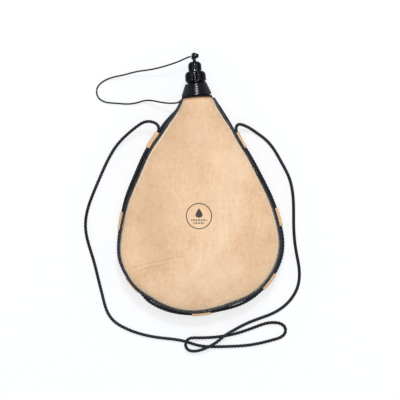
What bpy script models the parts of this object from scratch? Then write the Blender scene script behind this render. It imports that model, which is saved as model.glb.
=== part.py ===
"""A leather bota bag lying on its back.

Two leather panels are sewn together round a latex bladder. A cord edging runs on each side of the seam,
and the strap cord lies in the groove between the edgings, held by seven leather loops. A waxed cord ties
the neck on a screw mouthpiece, which carries a filler cap with a drinking spout and a stopper cap.

The bag's own frame has x to the right of its midline and y up from its lowest edge towards the neck.
The nozzle's own frame has z along its axis, from the foot of the neck.
"""

import math

import bmesh
import bpy
import numpy as np
from mathutils import Vector

# Bag
BODY_LENGTH = 0.2975
BELLY_HALF_WIDTH = 0.1113
BELLY_HEIGHT = 0.054
REST_DEPTH = 0.0016
LEATHER = 0.0014
LATEX = 0.0008
CLEARANCE = 0.0004
MIDLINE_X = -0.0028
BELLY_SHARE = 0.31

# Neck and its lean to the left
NECK_LENGTH = 0.0218
NECK_FOOT_RADIUS = 0.02
NECK_TOP_RADIUS = 0.0111
NECK_LEAN = math.radians(4)
LEAN_START_SHARE = 0.90
LEAN_END_SHARE = 0.965
ROUND_START_SHARE = 0.93
ROUND_END_SHARE = 0.995

# Seam, measured outwards from the leather's edge
SEAM_GAP = 0.0024
FLANGE_WIDTH = 0.0012
FLANGE_AT_NECK = 0.0001
PIPING_DIAMETER = 0.0036
STRAP_DIAMETER = 0.0045
STRAP_OUT = 0.0047
LOOP_LENGTH = 0.0235
LOOP_LEATHER = 0.0007
LOOP_TONGUE_IN = 0.001
ROLL_REACH = 0.018
SEAM_DROP = 0.0058

# Neck winding and tether
WINDING_DIAMETER = 0.0028
WINDING_TURNS = 4.75
TETHER_DIAMETER = 0.002
NECK_LOOP_Z = 0.0024
KNOB_WIND_PITCH = 0.00245
KNOB_WIND_TURNS = 1.5

# Mouthpiece
THROAT_RADIUS = 0.007
STEM_DEPTH = 0.008
STEM_WALL = 0.0024
COLLAR_RADIUS = 0.0133
COLLAR_HEIGHT = 0.0018
THREAD_RADIUS = 0.0104
THREAD_LENGTH = 0.0103
RIM_CHAMFER = 0.0005

# Filler cap and its gasket
GASKET_HEIGHT = 0.001
FILLER_RADIUS = 0.0145
FILLER_WALL_GAP = 0.0004
FILLER_ROOF = 0.0019
FILLER_SHOULDER_WIDTH = 0.0047
FILLER_SHOULDER_DROP = 0.007
FILLER_FLUTES = 10
FILLER_FLUTE_CORNERS = 6
FLUTE_DEPTH = 0.0012

# Spout
SPOUT_RADIUS = 0.0057
SPOUT_FLANGE_RADIUS = 0.007
SPOUT_LENGTH = 0.007
SPOUT_TIP_LENGTH = 0.0032
SPOUT_TIP_RADIUS = 0.002
SPOUT_BORE_RADIUS = 0.003
JET_RADIUS = 0.0009
JET_LENGTH = 0.0055

# Stopper cap, its seal and its knob
STOPPER_RADIUS = 0.00915
STOPPER_SHOULDER_WIDTH = 0.0055
STOPPER_SHOULDER_DROP = 0.006
STOPPER_ROOF = 0.0019
STOPPER_FLUTES = 10
STOPPER_FLUTE_CORNERS = 5
SEAL_HEIGHT = 0.0008
SEAL_RADIUS = 0.0029
STALK_RADIUS = 0.0024
STALK_LENGTH = 0.003
GROOVE_RADIUS = 0.0017
GROOVE_LENGTH = 0.0065
KNOB_RADIUS = 0.0035
KNOB_LIP = 0.0004
KNOB_HEIGHT = 0.0027

# The leather's outline: x as shares of the belly's half width, y as shares of the body's length
OUTLINE_SHARES = (
    (-0.207, 0.9707), (-0.31, 0.9171), (-0.417, 0.8632), (-0.526, 0.8027), (-0.616, 0.7473), (-0.749, 0.6342),
    (-0.868, 0.5202), (-0.932, 0.4062), (-0.96, 0.3098), (-0.942, 0.2361), (-0.877, 0.1799), (-0.783, 0.1282),
    (-0.642, 0.0816), (-0.476, 0.0415), (-0.276, 0.012), (-0.06, 0.0015), (0.164, 0.0115), (0.426, 0.0416),
    (0.625, 0.0727), (0.8, 0.1222), (0.91, 0.1747), (0.985, 0.2333), (1.022, 0.31), (0.99, 0.407),
    (0.893, 0.52), (0.745, 0.633), (0.582, 0.745), (0.491, 0.8), (0.41, 0.8619), (0.311, 0.9172),
    (0.224, 0.9719),
)
# The crown over the midline: y as shares of the body's length, height as shares of the belly's half height
CROWN_SHARES = ((0.31, 1.0), (0.45, 0.985), (0.6, 0.93), (0.75, 0.84), (0.87, 0.76), (1.0, 0.70), (1.08, 0.62))
# The seam's roll: places as shares of the seam's length from the left of the neck, angles in degrees
ROLL_SHARES = ((0.0, 0), (0.012, 0), (0.02, 8), (0.0275, 16), (0.0385, 19), (0.0535, 29), (0.075, 30),
               (0.09, 23), (0.16, 14), (0.22, -4), (0.3, -30), (0.375, -36), (0.4, -14), (0.45, -9), (0.5, -6),
               (0.61, -5), (0.64, 0), (0.75, 0), (0.85, -6), (0.91, -10), (0.94, 2), (0.96, 8), (0.985, 8), (1.0, 0))
# Rings of a panel, from the seam to the midline, as shares of the way from the midline to the seam
RING_SHARES = (0.985, 0.95, 0.88, 0.75, 0.56, 0.3, 0.0)
# Rings of the bladder in the same way
BLADDER_SHARES = (1.0, 0.96, 0.86, 0.66, 0.36, 0.0)
# The middles of the seven loops, as shares of the seam's length
LOOP_SHARES = (0.0881, 0.247, 0.366, 0.503, 0.64, 0.759, 0.9154)
# How far the strap cord bulges outwards between neighbouring loops, and where, as a share of the way
CORD_BULGES = (0.0003, 0.0004, 0.0026, 0.0023, 0.0005, 0.0003)
BULGE_SHARES = (0.5, 0.5, 0.24, 0.45, 0.5, 0.5)

# The free cords' routes, read from the photograph: column and row in pixels, height above the table in metres
PHOTO_SCALE = 0.0014
PHOTO_CENTRE = (200.0, 184.6)
STRAP_ROUTE = (
    (157.66, 132.71, 0.02762), (157.94, 132.3, 0.02764), (158.62, 130.3, 0.0276), (158.82, 128.98, 0.0276),
    (157.94, 125.7, 0.0274), (155.5, 123.3, 0.0268), (152.0, 121.9, 0.0258), (147.5, 121.5, 0.0245),
    (143.0, 122.6, 0.0228), (138.8, 125.0, 0.021), (131.5, 130.5, 0.017), (124.5, 136.6, 0.0128),
    (117.0, 144.6, 0.0085), (110.5, 154.3, 0.005), (105.0, 165.0, 0.0028), (100.3, 175.5, 0.00225),
    (92.5, 194.0, 0.00225), (87.0, 210.0, 0.00225), (85.0, 227.0, 0.00225), (88.3, 245.0, 0.00225),
    (93.2, 261.0, 0.00225), (98.0, 280.0, 0.00225), (102.5, 298.0, 0.00225), (106.8, 312.0, 0.00225),
    (112.5, 320.5, 0.00225), (124.0, 328.3, 0.00225), (140.0, 334.4, 0.00225), (160.0, 338.4, 0.00225),
    (175.7, 340.2, 0.00225), (185.5, 342.2, 0.00225), (195.0, 345.2, 0.00225), (205.0, 347.1, 0.00225),
    (217.5, 347.4, 0.00225), (232.0, 347.0, 0.00225), (247.0, 346.0, 0.00225), (262.0, 343.4, 0.00225),
    (275.0, 340.0, 0.00225), (281.4, 337.6, 0.00225), (285.3, 333.7, 0.00225), (285.6, 328.8, 0.00225),
    (282.0, 324.8, 0.00225), (276.0, 323.2, 0.00225), (267.5, 323.7, 0.00225), (257.0, 327.0, 0.00225),
    (247.0, 330.7, 0.00225), (237.0, 333.9, 0.00225), (227.0, 336.1, 0.00225), (216.5, 337.6, 0.00225),
    (206.0, 338.3, 0.0027), (198.0, 338.4, 0.0045), (192.1, 338.5, 0.0062), (188.8, 339.4, 0.007),
    (186.4, 341.8, 0.0073), (185.5, 345.0, 0.0068), (186.4, 348.3, 0.006), (188.8, 350.7, 0.0054),
    (192.3, 351.7, 0.0053), (198.0, 351.3, 0.006), (204.8, 349.1, 0.0073), (211.3, 346.0, 0.0076),
    (217.7, 341.9, 0.0075), (224.7, 336.3, 0.0075), (234.0, 330.7, 0.005), (246.5, 324.2, 0.0028),
    (260.0, 318.9, 0.00225), (272.6, 314.0, 0.00225), (283.0, 307.8, 0.00225), (291.0, 300.0, 0.00225),
    (296.8, 290.5, 0.00225), (299.6, 279.5, 0.00225), (299.4, 267.5, 0.00225), (297.0, 254.0, 0.00225),
    (295.0, 240.0, 0.00225), (294.1, 224.0, 0.00225), (294.0, 208.0, 0.00225), (293.0, 192.5, 0.00225),
    (289.3, 177.0, 0.00225), (282.0, 162.5, 0.00225), (273.8, 148.5, 0.00225), (265.5, 139.0, 0.0028),
    (257.5, 133.0, 0.0046), (251.0, 128.6, 0.0076), (245.8, 125.9, 0.011), (240.83, 124.38, 0.0151),
    (238.26, 124.6, 0.0185), (236.5, 126.46, 0.0218), (235.98, 129.47, 0.0243), (236.65, 132.36, 0.02523),
    (236.87, 132.81, 0.02521),
)
TETHER_UPPER_ROUTE = (
    (190.75, 56.4, 0.0254), (186.4, 58.0, 0.0256), (180.7, 60.6, 0.0252), (172.7, 63.6, 0.0238),
    (164.7, 66.1, 0.0215), (156.7, 68.1, 0.0188), (148.8, 69.6, 0.016), (140.8, 70.6, 0.0132),
    (132.0, 72.3, 0.0104), (124.0, 74.4, 0.0078), (114.5, 76.3, 0.005), (108.0, 78.3, 0.0032),
    (102.0, 81.4, 0.0018), (98.0, 85.3, 0.0011), (96.4, 88.7, 0.001),
    (96.25, 90.0, 0.001),
)
TETHER_LOWER_ROUTE = (
    (96.2, 90.25, 0.001), (96.2, 91.5, 0.001), (97.1, 95.6, 0.001), (99.6, 98.9, 0.001), (104.0, 101.3, 0.001),
    (109.5, 102.4, 0.001), (117.0, 102.9, 0.001), (125.0, 103.5, 0.001), (131.0, 103.3, 0.0012),
    (137.0, 102.2, 0.0025), (143.0, 100.5, 0.0048), (148.5, 100.0, 0.0078), (154.0, 100.7, 0.0112),
    (161.0, 102.1, 0.0155), (168.7, 103.1, 0.0197), (174.3, 103.1, 0.0228), (178.2, 102.4, 0.0246),
    (180.9, 100.8, 0.0254),
)

# How much a bend draws a free cord's points together, in diameters a radian
BEND_REACH = 3

# The swell of the bag's section
PILLOW_POWER = 2.4
PILLOW_ROUND = 0.62

# How finely the solids are drawn: rows of a panel on the neck and on the flanks, columns round the belly's lower
# half, fine rows of the bladder, lengths of a loop, points in a turn of a winding, diameters between cord points
NECK_ROWS = 3
SIDE_ROWS = 15
FAN_COLUMNS = 24
FINE_ROWS = 6
LOOP_STEPS = 4
TURN_POINTS = 24
CORD_STEP = 2.3
WELD_DISTANCE = 0.000001

# Worked out from the sizes above
SEAM_HEIGHT = BELLY_HEIGHT / 2 - REST_DEPTH
FLANGE_OUTER = SEAM_GAP / 2 + LEATHER
PIPING_RADIUS = PIPING_DIAMETER / 2
STRAP_RADIUS = STRAP_DIAMETER / 2
TETHER_RADIUS = TETHER_DIAMETER / 2
WINDING_RADIUS = WINDING_DIAMETER / 2
WINDING_Z = NECK_LOOP_Z + TETHER_RADIUS + CLEARANCE + WINDING_RADIUS
WINDING_PITCH = (NECK_LENGTH - WINDING_RADIUS - WINDING_Z) / WINDING_TURNS
SLEEVE_RADIUS = STRAP_RADIUS + CLEARANCE + LOOP_LEATHER / 2
LOOP_REACH = STRAP_OUT + SLEEVE_RADIUS + LOOP_LEATHER / 2
COLLAR_Z = NECK_LENGTH + CLEARANCE
THREAD_TOP_Z = COLLAR_Z + COLLAR_HEIGHT + THREAD_LENGTH
GASKET_Z = THREAD_TOP_Z + CLEARANCE
FILLER_ROOF_Z = GASKET_Z + GASKET_HEIGHT + CLEARANCE
FILLER_TOP_Z = FILLER_ROOF_Z + FILLER_ROOF
SPOUT_SHOULDER_Z = FILLER_TOP_Z + SPOUT_LENGTH
SPOUT_TIP_Z = SPOUT_SHOULDER_Z + SPOUT_TIP_LENGTH
SEAL_Z = SPOUT_TIP_Z + CLEARANCE
STOPPER_ROOF_Z = SEAL_Z + SEAL_HEIGHT + CLEARANCE
STOPPER_TOP_Z = STOPPER_ROOF_Z + STOPPER_ROOF
GROOVE_Z = STOPPER_TOP_Z + STALK_LENGTH
KNOB_Z = GROOVE_Z + GROOVE_LENGTH + KNOB_LIP
NOZZLE_LENGTH = KNOB_Z + KNOB_HEIGHT
TOTAL_LENGTH = LOOP_REACH + BODY_LENGTH + NOZZLE_LENGTH * math.cos(NECK_LEAN)
BOTTOM_Y = LOOP_REACH - TOTAL_LENGTH / 2


# Curves and interpolation


def smooth_curve(points, count, dense=24):
    """A natural cubic spline through the points, read at evenly spaced places along its length."""
    points = np.array(points, float)
    steps = np.linalg.norm(np.diff(points, axis=0), axis=1)
    knots = np.concatenate([[0], np.cumsum(steps)])
    size = len(points)
    system = np.eye(size)
    target = np.zeros_like(points)
    for i in range(1, size - 1):
        system[i, i - 1 : i + 2] = steps[i - 1], 2 * (steps[i - 1] + steps[i]), steps[i]
        target[i] = 6 * ((points[i + 1] - points[i]) / steps[i] - (points[i] - points[i - 1]) / steps[i - 1])
    bends = np.linalg.solve(system, target)
    places = np.linspace(0, knots[-1], dense * size)
    left = np.clip(np.searchsorted(knots, places, side="right") - 1, 0, size - 2)
    step = steps[left][:, None]
    ahead = (knots[left + 1] - places)[:, None]
    behind = (places - knots[left])[:, None]
    fine = (
        (bends[left] * ahead**3 + bends[left + 1] * behind**3) / (6 * step)
        + (points[left] / step - bends[left] * step / 6) * ahead
        + (points[left + 1] / step - bends[left + 1] * step / 6) * behind
    )
    run = run_lengths(fine)
    wanted = np.linspace(0, run[-1], count)
    return np.column_stack([np.interp(wanted, run, fine[:, k]) for k in range(fine.shape[1])])


def run_lengths(points):
    """The length along a line of points, up to each point."""
    return np.concatenate([[0], np.cumsum(np.linalg.norm(np.diff(points, axis=0), axis=1))])


def smooth_step(low, high, value):
    """A share that rises smoothly from 0 to 1 between two limits."""
    share = min(max((value - low) / (high - low), 0), 1)
    return share * share * (3 - 2 * share)


def neck_radius(z):
    """The leather's outer radius at a height on the nozzle's axis."""
    return NECK_FOOT_RADIUS + (NECK_TOP_RADIUS - NECK_FOOT_RADIUS) * z / NECK_LENGTH


# The leather's outline and the seam along it


def neck_edge(z):
    """The outline's half width at a height on the neck, where the panels form a round tube."""
    return math.sqrt(neck_radius(z) ** 2 - FLANGE_OUTER**2)


def leather_outline():
    """The leather's edge as dense points in the bag's frame, from the neck's top at the left round to the right."""
    shares = np.array(OUTLINE_SHARES) * (BELLY_HALF_WIDTH, BODY_LENGTH)
    feet = [(-neck_edge(0), BODY_LENGTH), (neck_edge(0), BODY_LENGTH)]
    body = smooth_curve([feet[0], *shares, feet[1]], 900)
    top = (neck_edge(NECK_LENGTH), BODY_LENGTH + NECK_LENGTH)
    return np.vstack([[(-top[0], top[1])], body, [top]])


OUTLINE = leather_outline()
OUTLINE_RUN = run_lengths(OUTLINE)
CROWN = smooth_curve(np.array(CROWN_SHARES) * (BODY_LENGTH, BELLY_HEIGHT / 2), 200)
LOWEST = int(np.argmin(OUTLINE[:, 1]))
SEAM_TOP = BODY_LENGTH - SEAM_DROP


def run_at_height(y, side):
    """The length along the outline where its left (-1) or right (1) flank is at a height y."""
    if side < 0:
        return float(np.interp(-y, -OUTLINE[: LOWEST + 1, 1], OUTLINE_RUN[: LOWEST + 1]))
    return float(np.interp(y, OUTLINE[LOWEST:, 1], OUTLINE_RUN[LOWEST:]))


SEAM_START = run_at_height(SEAM_TOP, -1)
SEAM_END = run_at_height(SEAM_TOP, 1)


def edge_at(run):
    """The outline's point and outward direction at a length along it, in the bag's frame."""
    span = CLEARANCE
    ends = [np.array([np.interp(run + d, OUTLINE_RUN, OUTLINE[:, k]) for k in (0, 1)]) for d in (-span, span)]
    along = ends[1] - ends[0]
    along /= np.linalg.norm(along)
    return (ends[0] + ends[1]) / 2, np.array([along[1], -along[0]])


def roll_at(run):
    """The seam's roll, in radians, at a length along the outline."""
    share = (run - SEAM_START) / (SEAM_END - SEAM_START)
    places, angles = zip(*ROLL_SHARES)
    return math.radians(float(np.interp(share, places, angles)))


def rolled(out, up, run):
    """A place in the seam's section, turned with the seam's roll, which fades away from the seam."""
    angle = roll_at(run) * math.exp(-((out * out + up * up) / ROLL_REACH**2))
    return out * math.cos(angle) - up * math.sin(angle), out * math.sin(angle) + up * math.cos(angle)


def in_world(x, y, up):
    """A place in the bag's frame, bent with the neck's lean, in world coordinates."""
    start = LEAN_START_SHARE * BODY_LENGTH
    bend = (LEAN_END_SHARE - LEAN_START_SHARE) * BODY_LENGTH
    turn = NECK_LEAN * min(max((y - start) / bend, 0), 1)
    radius = bend / NECK_LEAN
    beyond = max(y - start - bend, 0)
    centre_x = -radius * (1 - math.cos(turn)) - beyond * math.sin(turn)
    centre_y = min(y, start) + radius * math.sin(turn) + beyond * math.cos(turn)
    return Vector((
        MIDLINE_X + centre_x + x * math.cos(turn),
        BOTTOM_Y + centre_y + x * math.sin(turn),
        SEAM_HEIGHT + up,
    ))


def seam_place(run, out, up):
    """A place beside the seam, given across its section, in world coordinates."""
    edge, outward = edge_at(run)
    out, up = rolled(out, up, run)
    return in_world(edge[0] + out * outward[0], edge[1] + out * outward[1], up)


# Objects


def material(name, colour, roughness, metallic=0.0):
    made = bpy.data.materials.new(name)
    made.use_nodes = True
    shader = made.node_tree.nodes["Principled BSDF"]
    shader.inputs["Base Color"].default_value = (*colour, 1)
    shader.inputs["Roughness"].default_value = roughness
    shader.inputs["Metallic"].default_value = metallic
    return made


def add_object(name, data, look, parent):
    obj = bpy.data.objects.new(name, data)
    PARTS.objects.link(obj)
    obj.parent = parent
    data.materials.append(look)
    return obj


def grid_piece(name, columns, rings, place, look, parent, facing=1, thickness=LEATHER):
    """A sheet from a grid whose points go to place(column, ring), thickened on its inner side."""
    mesh = bpy.data.meshes.new(name)
    shape = bmesh.new()
    bmesh.ops.create_grid(shape, x_segments=columns, y_segments=rings, size=0.5)
    for vertex in shape.verts:
        column = round((vertex.co.x + 0.5) * columns)
        ring = round((vertex.co.y + 0.5) * rings)
        vertex.co = place(column, ring)
    bmesh.ops.remove_doubles(shape, verts=shape.verts, dist=WELD_DISTANCE)
    bmesh.ops.recalc_face_normals(shape, faces=shape.faces)
    if sum(face.normal.z * face.calc_area() for face in shape.faces) * facing < 0:
        bmesh.ops.reverse_faces(shape, faces=shape.faces)
    shape.to_mesh(mesh)
    shape.free()
    mesh.shade_smooth()
    obj = add_object(name, mesh, look, parent)
    wall = obj.modifiers.new("Thickness", "SOLIDIFY")
    wall.thickness = thickness
    wall.offset = -1
    wall.use_even_offset = True
    return obj


def tube(name, points, diameter, look, parent, bevel_resolution=2, closed=False):
    curve = bpy.data.curves.new(name, "CURVE")
    curve.dimensions = "3D"
    curve.bevel_depth = diameter / 2
    curve.bevel_resolution = bevel_resolution
    curve.use_fill_caps = True
    line = curve.splines.new("POLY")
    line.points.add(len(points) - 1)
    for spot, point in zip(line.points, points):
        spot.co = (*point, 1)
    line.use_cyclic_u = closed
    line.use_smooth = True
    return add_object(name, curve, look, parent)


def turned(name, profile, steps, look, parent):
    """A turned solid: a profile in (radius, height), down its outer side, spun about the nozzle's axis."""
    mesh = bpy.data.meshes.new(name)
    edges = [(i, i + 1) for i in range(len(profile) - 1)]
    if profile[0][0] > 0:
        edges.append((len(profile) - 1, 0))
    mesh.from_pydata([(radius, 0, height) for radius, height in profile], edges, [])
    obj = add_object(name, mesh, look, parent)
    spin = obj.modifiers.new("Spin", "SCREW")
    spin.steps = steps
    spin.render_steps = steps
    spin.use_merge_vertices = True
    spin.merge_threshold = 10 * WELD_DISTANCE
    return obj


def arc(centre, radii, start, end, count):
    """Points on an ellipse's arc in the profile's plane, angles in degrees from the outward direction."""
    turns = np.radians(np.linspace(start, end, count))
    return [(centre[0] + radii[0] * math.cos(t), centre[1] + radii[1] * math.sin(t)) for t in turns]


def flute(obj, radius, low, high, flutes):
    """Press hollow flutes into a turned cap's outer wall, fading out towards its top."""
    graph = bpy.context.evaluated_depsgraph_get()
    mesh = bpy.data.meshes.new_from_object(obj.evaluated_get(graph))
    inner = radius - FLUTE_DEPTH - CLEARANCE
    for vertex in mesh.vertices:
        spread = math.hypot(vertex.co.x, vertex.co.y)
        if spread < inner or not low <= vertex.co.z <= high:
            continue
        angle = math.atan2(vertex.co.y, vertex.co.x)
        groove = abs(math.sin(flutes * angle / 2)) * FLUTE_DEPTH
        fade = 1 - smooth_step((low + high) / 2, high, vertex.co.z)
        vertex.co.x *= 1 - groove * fade / spread
        vertex.co.y *= 1 - groove * fade / spread
    mesh.name = obj.name
    mesh.shade_smooth()
    obj.modifiers.clear()
    obj.data = mesh


# Leather panels and bladder


def panel_columns():
    """Each column of a panel: its length along the outline and its inner end on the midline or belly centre."""
    belly_y = BELLY_SHARE * BODY_LENGTH
    neck_rows = [BODY_LENGTH + NECK_LENGTH * (1 - i / NECK_ROWS) for i in range(NECK_ROWS)]
    side_rows = [belly_y + (BODY_LENGTH - belly_y) * (1 - i / SIDE_ROWS) for i in range(SIDE_ROWS + 1)]
    rows = [(run_at_height(y, -1), run_at_height(y, 1), y) for y in neck_rows + side_rows]

    def middle(row):
        return (edge_at(row[0])[0][0] + edge_at(row[1])[0][0]) / 2

    centre = np.array([middle(rows[-1]), belly_y])
    fan = OUTLINE - centre
    angles = np.degrees(np.arctan2(-fan[:, 1], -fan[:, 0]))
    below = fan[:, 1] < 0
    turns = [180 * i / FAN_COLUMNS for i in range(1, FAN_COLUMNS)]
    fan_runs = np.interp(turns, angles[below], OUTLINE_RUN[below])
    left = [(row[0], np.array([middle(row), row[2]]), row[2]) for row in rows]
    right = [(row[1], np.array([middle(row), row[2]]), row[2]) for row in reversed(rows)]
    return left + [(run, centre, belly_y) for run in fan_runs] + right


COLUMNS = panel_columns()


def crown_at(y):
    return float(np.interp(y, CROWN[:, 0], CROWN[:, 1]))


def skin_place(column, share, side, half_width_cut, crown_cut, base):
    """A point of a panel or of the bladder: share is 1 at the seam and 0 on the midline."""
    run, centre, row_y = COLUMNS[column]
    edge, outward = edge_at(run)
    ray = edge - centre
    width = np.linalg.norm(ray)
    roundness = smooth_step(ROUND_START_SHARE * BODY_LENGTH, ROUND_END_SHARE * BODY_LENGTH, row_y)
    tube_radius = math.hypot(width, FLANGE_OUTER) - crown_cut
    tube_width = math.sqrt(max(tube_radius**2 - base**2, 0))
    pillow_width = width - half_width_cut
    reach = pillow_width + (tube_width - pillow_width) * roundness
    pillow = base + (crown_at(row_y) - crown_cut - base) * (1 - share**PILLOW_POWER) ** PILLOW_ROUND
    tube_up = math.sqrt(max(tube_radius**2 - (share * tube_width) ** 2, 0))
    up = (pillow + (tube_up - pillow) * roundness) * side
    flat = centre + ray / width * reach * share
    out = float((flat - edge) @ outward)
    moved = rolled(out, up, run)
    flat = flat + (moved[0] - out) * outward
    return in_world(flat[0], flat[1], moved[1])


def panel(name, side, look, parent):
    rings = len(RING_SHARES) + 1

    def place(column, ring):
        run, _, row_y = COLUMNS[column]
        if ring > 1:
            point = skin_place(column, RING_SHARES[ring - 2], side, 0, 0, FLANGE_OUTER)
        else:
            roundness = smooth_step(ROUND_START_SHARE * BODY_LENGTH, ROUND_END_SHARE * BODY_LENGTH, row_y)
            flange = FLANGE_WIDTH + (FLANGE_AT_NECK - FLANGE_WIDTH) * roundness
            point = seam_place(run, flange * (1 - ring), FLANGE_OUTER * side)
        point.z = max(point.z, 0)
        return point

    return grid_piece(name, len(COLUMNS) - 1, rings, place, look, parent, facing=side)


def bladder(name, look, parent):
    edge_cut = LOOP_TONGUE_IN + LEATHER + CLEARANCE
    crown_cut = LEATHER + CLEARANCE
    fine = NECK_ROWS + FINE_ROWS
    ends = len(COLUMNS) - fine
    columns = [i for i in range(len(COLUMNS)) if i < fine or i >= ends or (i - fine) % 2 == 1]
    last = len(BLADDER_SHARES) - 1

    def place(column, ring):
        side = 1 if ring <= last else -1
        share = BLADDER_SHARES[abs(last - ring)]
        point = skin_place(columns[column], share, side, edge_cut, crown_cut, 0)
        point.z = max(point.z, LEATHER + 3 * CLEARANCE)
        return point

    mesh = bpy.data.meshes.new(name)
    shape = bmesh.new()
    rings = 2 * last
    bmesh.ops.create_grid(shape, x_segments=len(columns) - 1, y_segments=rings, size=0.5)
    for vertex in shape.verts:
        column = round((vertex.co.x + 0.5) * (len(columns) - 1))
        ring = round((vertex.co.y + 0.5) * rings)
        vertex.co = place(column, ring)
    bmesh.ops.remove_doubles(shape, verts=shape.verts, dist=WELD_DISTANCE)
    bmesh.ops.recalc_face_normals(shape, faces=shape.faces)
    top = max(shape.faces, key=lambda face: face.calc_center_median().z)
    if top.normal.z < 0:
        bmesh.ops.reverse_faces(shape, faces=shape.faces)
    shape.to_mesh(mesh)
    shape.free()
    mesh.shade_smooth()
    obj = add_object(name, mesh, look, parent)
    wall = obj.modifiers.new("Thickness", "SOLIDIFY")
    wall.thickness = LATEX
    wall.offset = -1
    return obj


# Seam


def seam_line(start, end, out, up, count):
    return [seam_place(start + (end - start) * i / (count - 1), out, up) for i in range(count)]


def loop_middles():
    return [SEAM_START + (SEAM_END - SEAM_START) * share for share in LOOP_SHARES]


def cord_out(run):
    """How far out the strap cord's middle lies: straight in the loops, bulging a little between them."""
    middles = loop_middles()
    for bulge, crest, low, high in zip(CORD_BULGES, BULGE_SHARES, middles[:-1], middles[1:]):
        low, high = low + LOOP_LENGTH / 2, high - LOOP_LENGTH / 2
        if low < run < high:
            share = (run - low) / (high - low)
            rise = min(share / crest, (1 - share) / (1 - crest))
            return STRAP_OUT + bulge * math.sin(math.pi / 2 * rise) ** 2
    return STRAP_OUT


def seam_cord(name, look, parent):
    middles = loop_middles()
    start, end = middles[0] - LOOP_LENGTH / 2, middles[-1] + LOOP_LENGTH / 2
    count = round((end - start) / (STRAP_DIAMETER * CORD_STEP)) + 1
    runs = [start + (end - start) * i / (count - 1) for i in range(count)]
    points = [seam_place(run, cord_out(run), 0) for run in runs]
    for end, before in ((points[0], points[1]), (points[-1], points[-2])):
        heading = [round(v, 3) for v in (end - before).normalized()]
        print("strap cord leaves the seam at", [round(v, 5) for v in end], "heading", heading)
    return tube(name, points, STRAP_DIAMETER, look, parent)


def cord_loop(name, middle, look, parent):
    """A strip folded round the strap cord, its two ends lying between the panels' flanges."""
    ply = (LOOP_LEATHER + CLEARANCE) / 2
    knee = FLANGE_WIDTH + CLEARANCE
    bow = [(STRAP_OUT + SLEEVE_RADIUS * math.cos(t), SLEEVE_RADIUS * math.sin(t))
           for t in np.radians((125, 84, 42, 0, -42, -84, -125))]
    section = [(-LOOP_TONGUE_IN, ply), (knee, ply), *bow, (knee, -ply), (-LOOP_TONGUE_IN, -ply)]

    def place(column, ring):
        out, up = section[ring]
        return seam_place(middle + LOOP_LENGTH * (column / LOOP_STEPS - 1 / 2), out, up)

    obj = grid_piece(name, LOOP_STEPS, len(section) - 1, place, look, parent, thickness=LOOP_LEATHER)
    obj.modifiers["Thickness"].offset = 0
    return obj


# Cords on the nozzle


def helix(radius_at, start_z, pitch, turns, start_angle):
    """The middle line of a winding about the nozzle's axis."""
    count = round(TURN_POINTS * turns) + 1
    points = []
    for i in range(count):
        angle = start_angle + 2 * math.pi * turns * i / (count - 1)
        z = start_z + pitch * turns * i / (count - 1)
        points.append(np.array((radius_at(z) * math.cos(angle), radius_at(z) * math.sin(angle), z)))
    return points


def with_straight_ends(points, run):
    """A line with a straight run added at each of its ends."""
    first = points[0] - points[1]
    last = points[-1] - points[-2]
    return [
        points[0] + first / np.linalg.norm(first) * run,
        *points,
        points[-1] + last / np.linalg.norm(last) * run,
    ]


def least_gap(points, diameter):
    """The least gap between a winding's turns, from its middle line."""
    line = np.array(points)
    apart = np.linalg.norm(line[:, None] - line[None], axis=2)
    far = np.abs(np.subtract.outer(np.arange(len(line)), np.arange(len(line)))) > TURN_POINTS * 2 / 3
    return float(apart[far].min()) - diameter


def seat_on_neck(cord_radius):
    """How far a cord's middle line lies outside the conical neck, measured square to the nozzle's axis."""
    slope = math.atan((NECK_FOOT_RADIUS - NECK_TOP_RADIUS) / NECK_LENGTH)
    return (cord_radius + CLEARANCE) / math.cos(slope)


def neck_winding(name, look, parent):
    seat = seat_on_neck(WINDING_RADIUS)
    turns = helix(lambda z: neck_radius(z) + seat, WINDING_Z, WINDING_PITCH, WINDING_TURNS, math.pi)
    points = with_straight_ends(turns, WINDING_DIAMETER)
    print("neck winding, least gap between its turns in mm:", round(least_gap(points, WINDING_DIAMETER) * 1000, 3))
    return tube(name, points, WINDING_DIAMETER, look, parent, bevel_resolution=1)


def knob_loop(name, look, parent):
    radius = GROOVE_RADIUS + CLEARANCE + TETHER_RADIUS
    start = GROOVE_Z + (GROOVE_LENGTH - KNOB_WIND_PITCH * KNOB_WIND_TURNS) / 2
    turns = helix(lambda z: radius, start, KNOB_WIND_PITCH, KNOB_WIND_TURNS, math.pi)
    points = with_straight_ends(turns, TETHER_DIAMETER)
    print("knob loop, least gap between its turns in mm:", round(least_gap(points, TETHER_DIAMETER) * 1000, 3))
    return tube(name, points, TETHER_DIAMETER, look, parent, bevel_resolution=1)


def neck_loop(name, look, parent):
    radius = neck_radius(NECK_LOOP_Z) + seat_on_neck(TETHER_RADIUS)
    points = [(radius * math.cos(t), radius * math.sin(t), NECK_LOOP_Z) for t in np.arange(32) * math.pi / 16]
    print("neck loop, radius in mm:", round(radius * 1000, 3))
    return tube(name, points, TETHER_DIAMETER, look, parent, closed=True)


# Free cords


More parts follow.
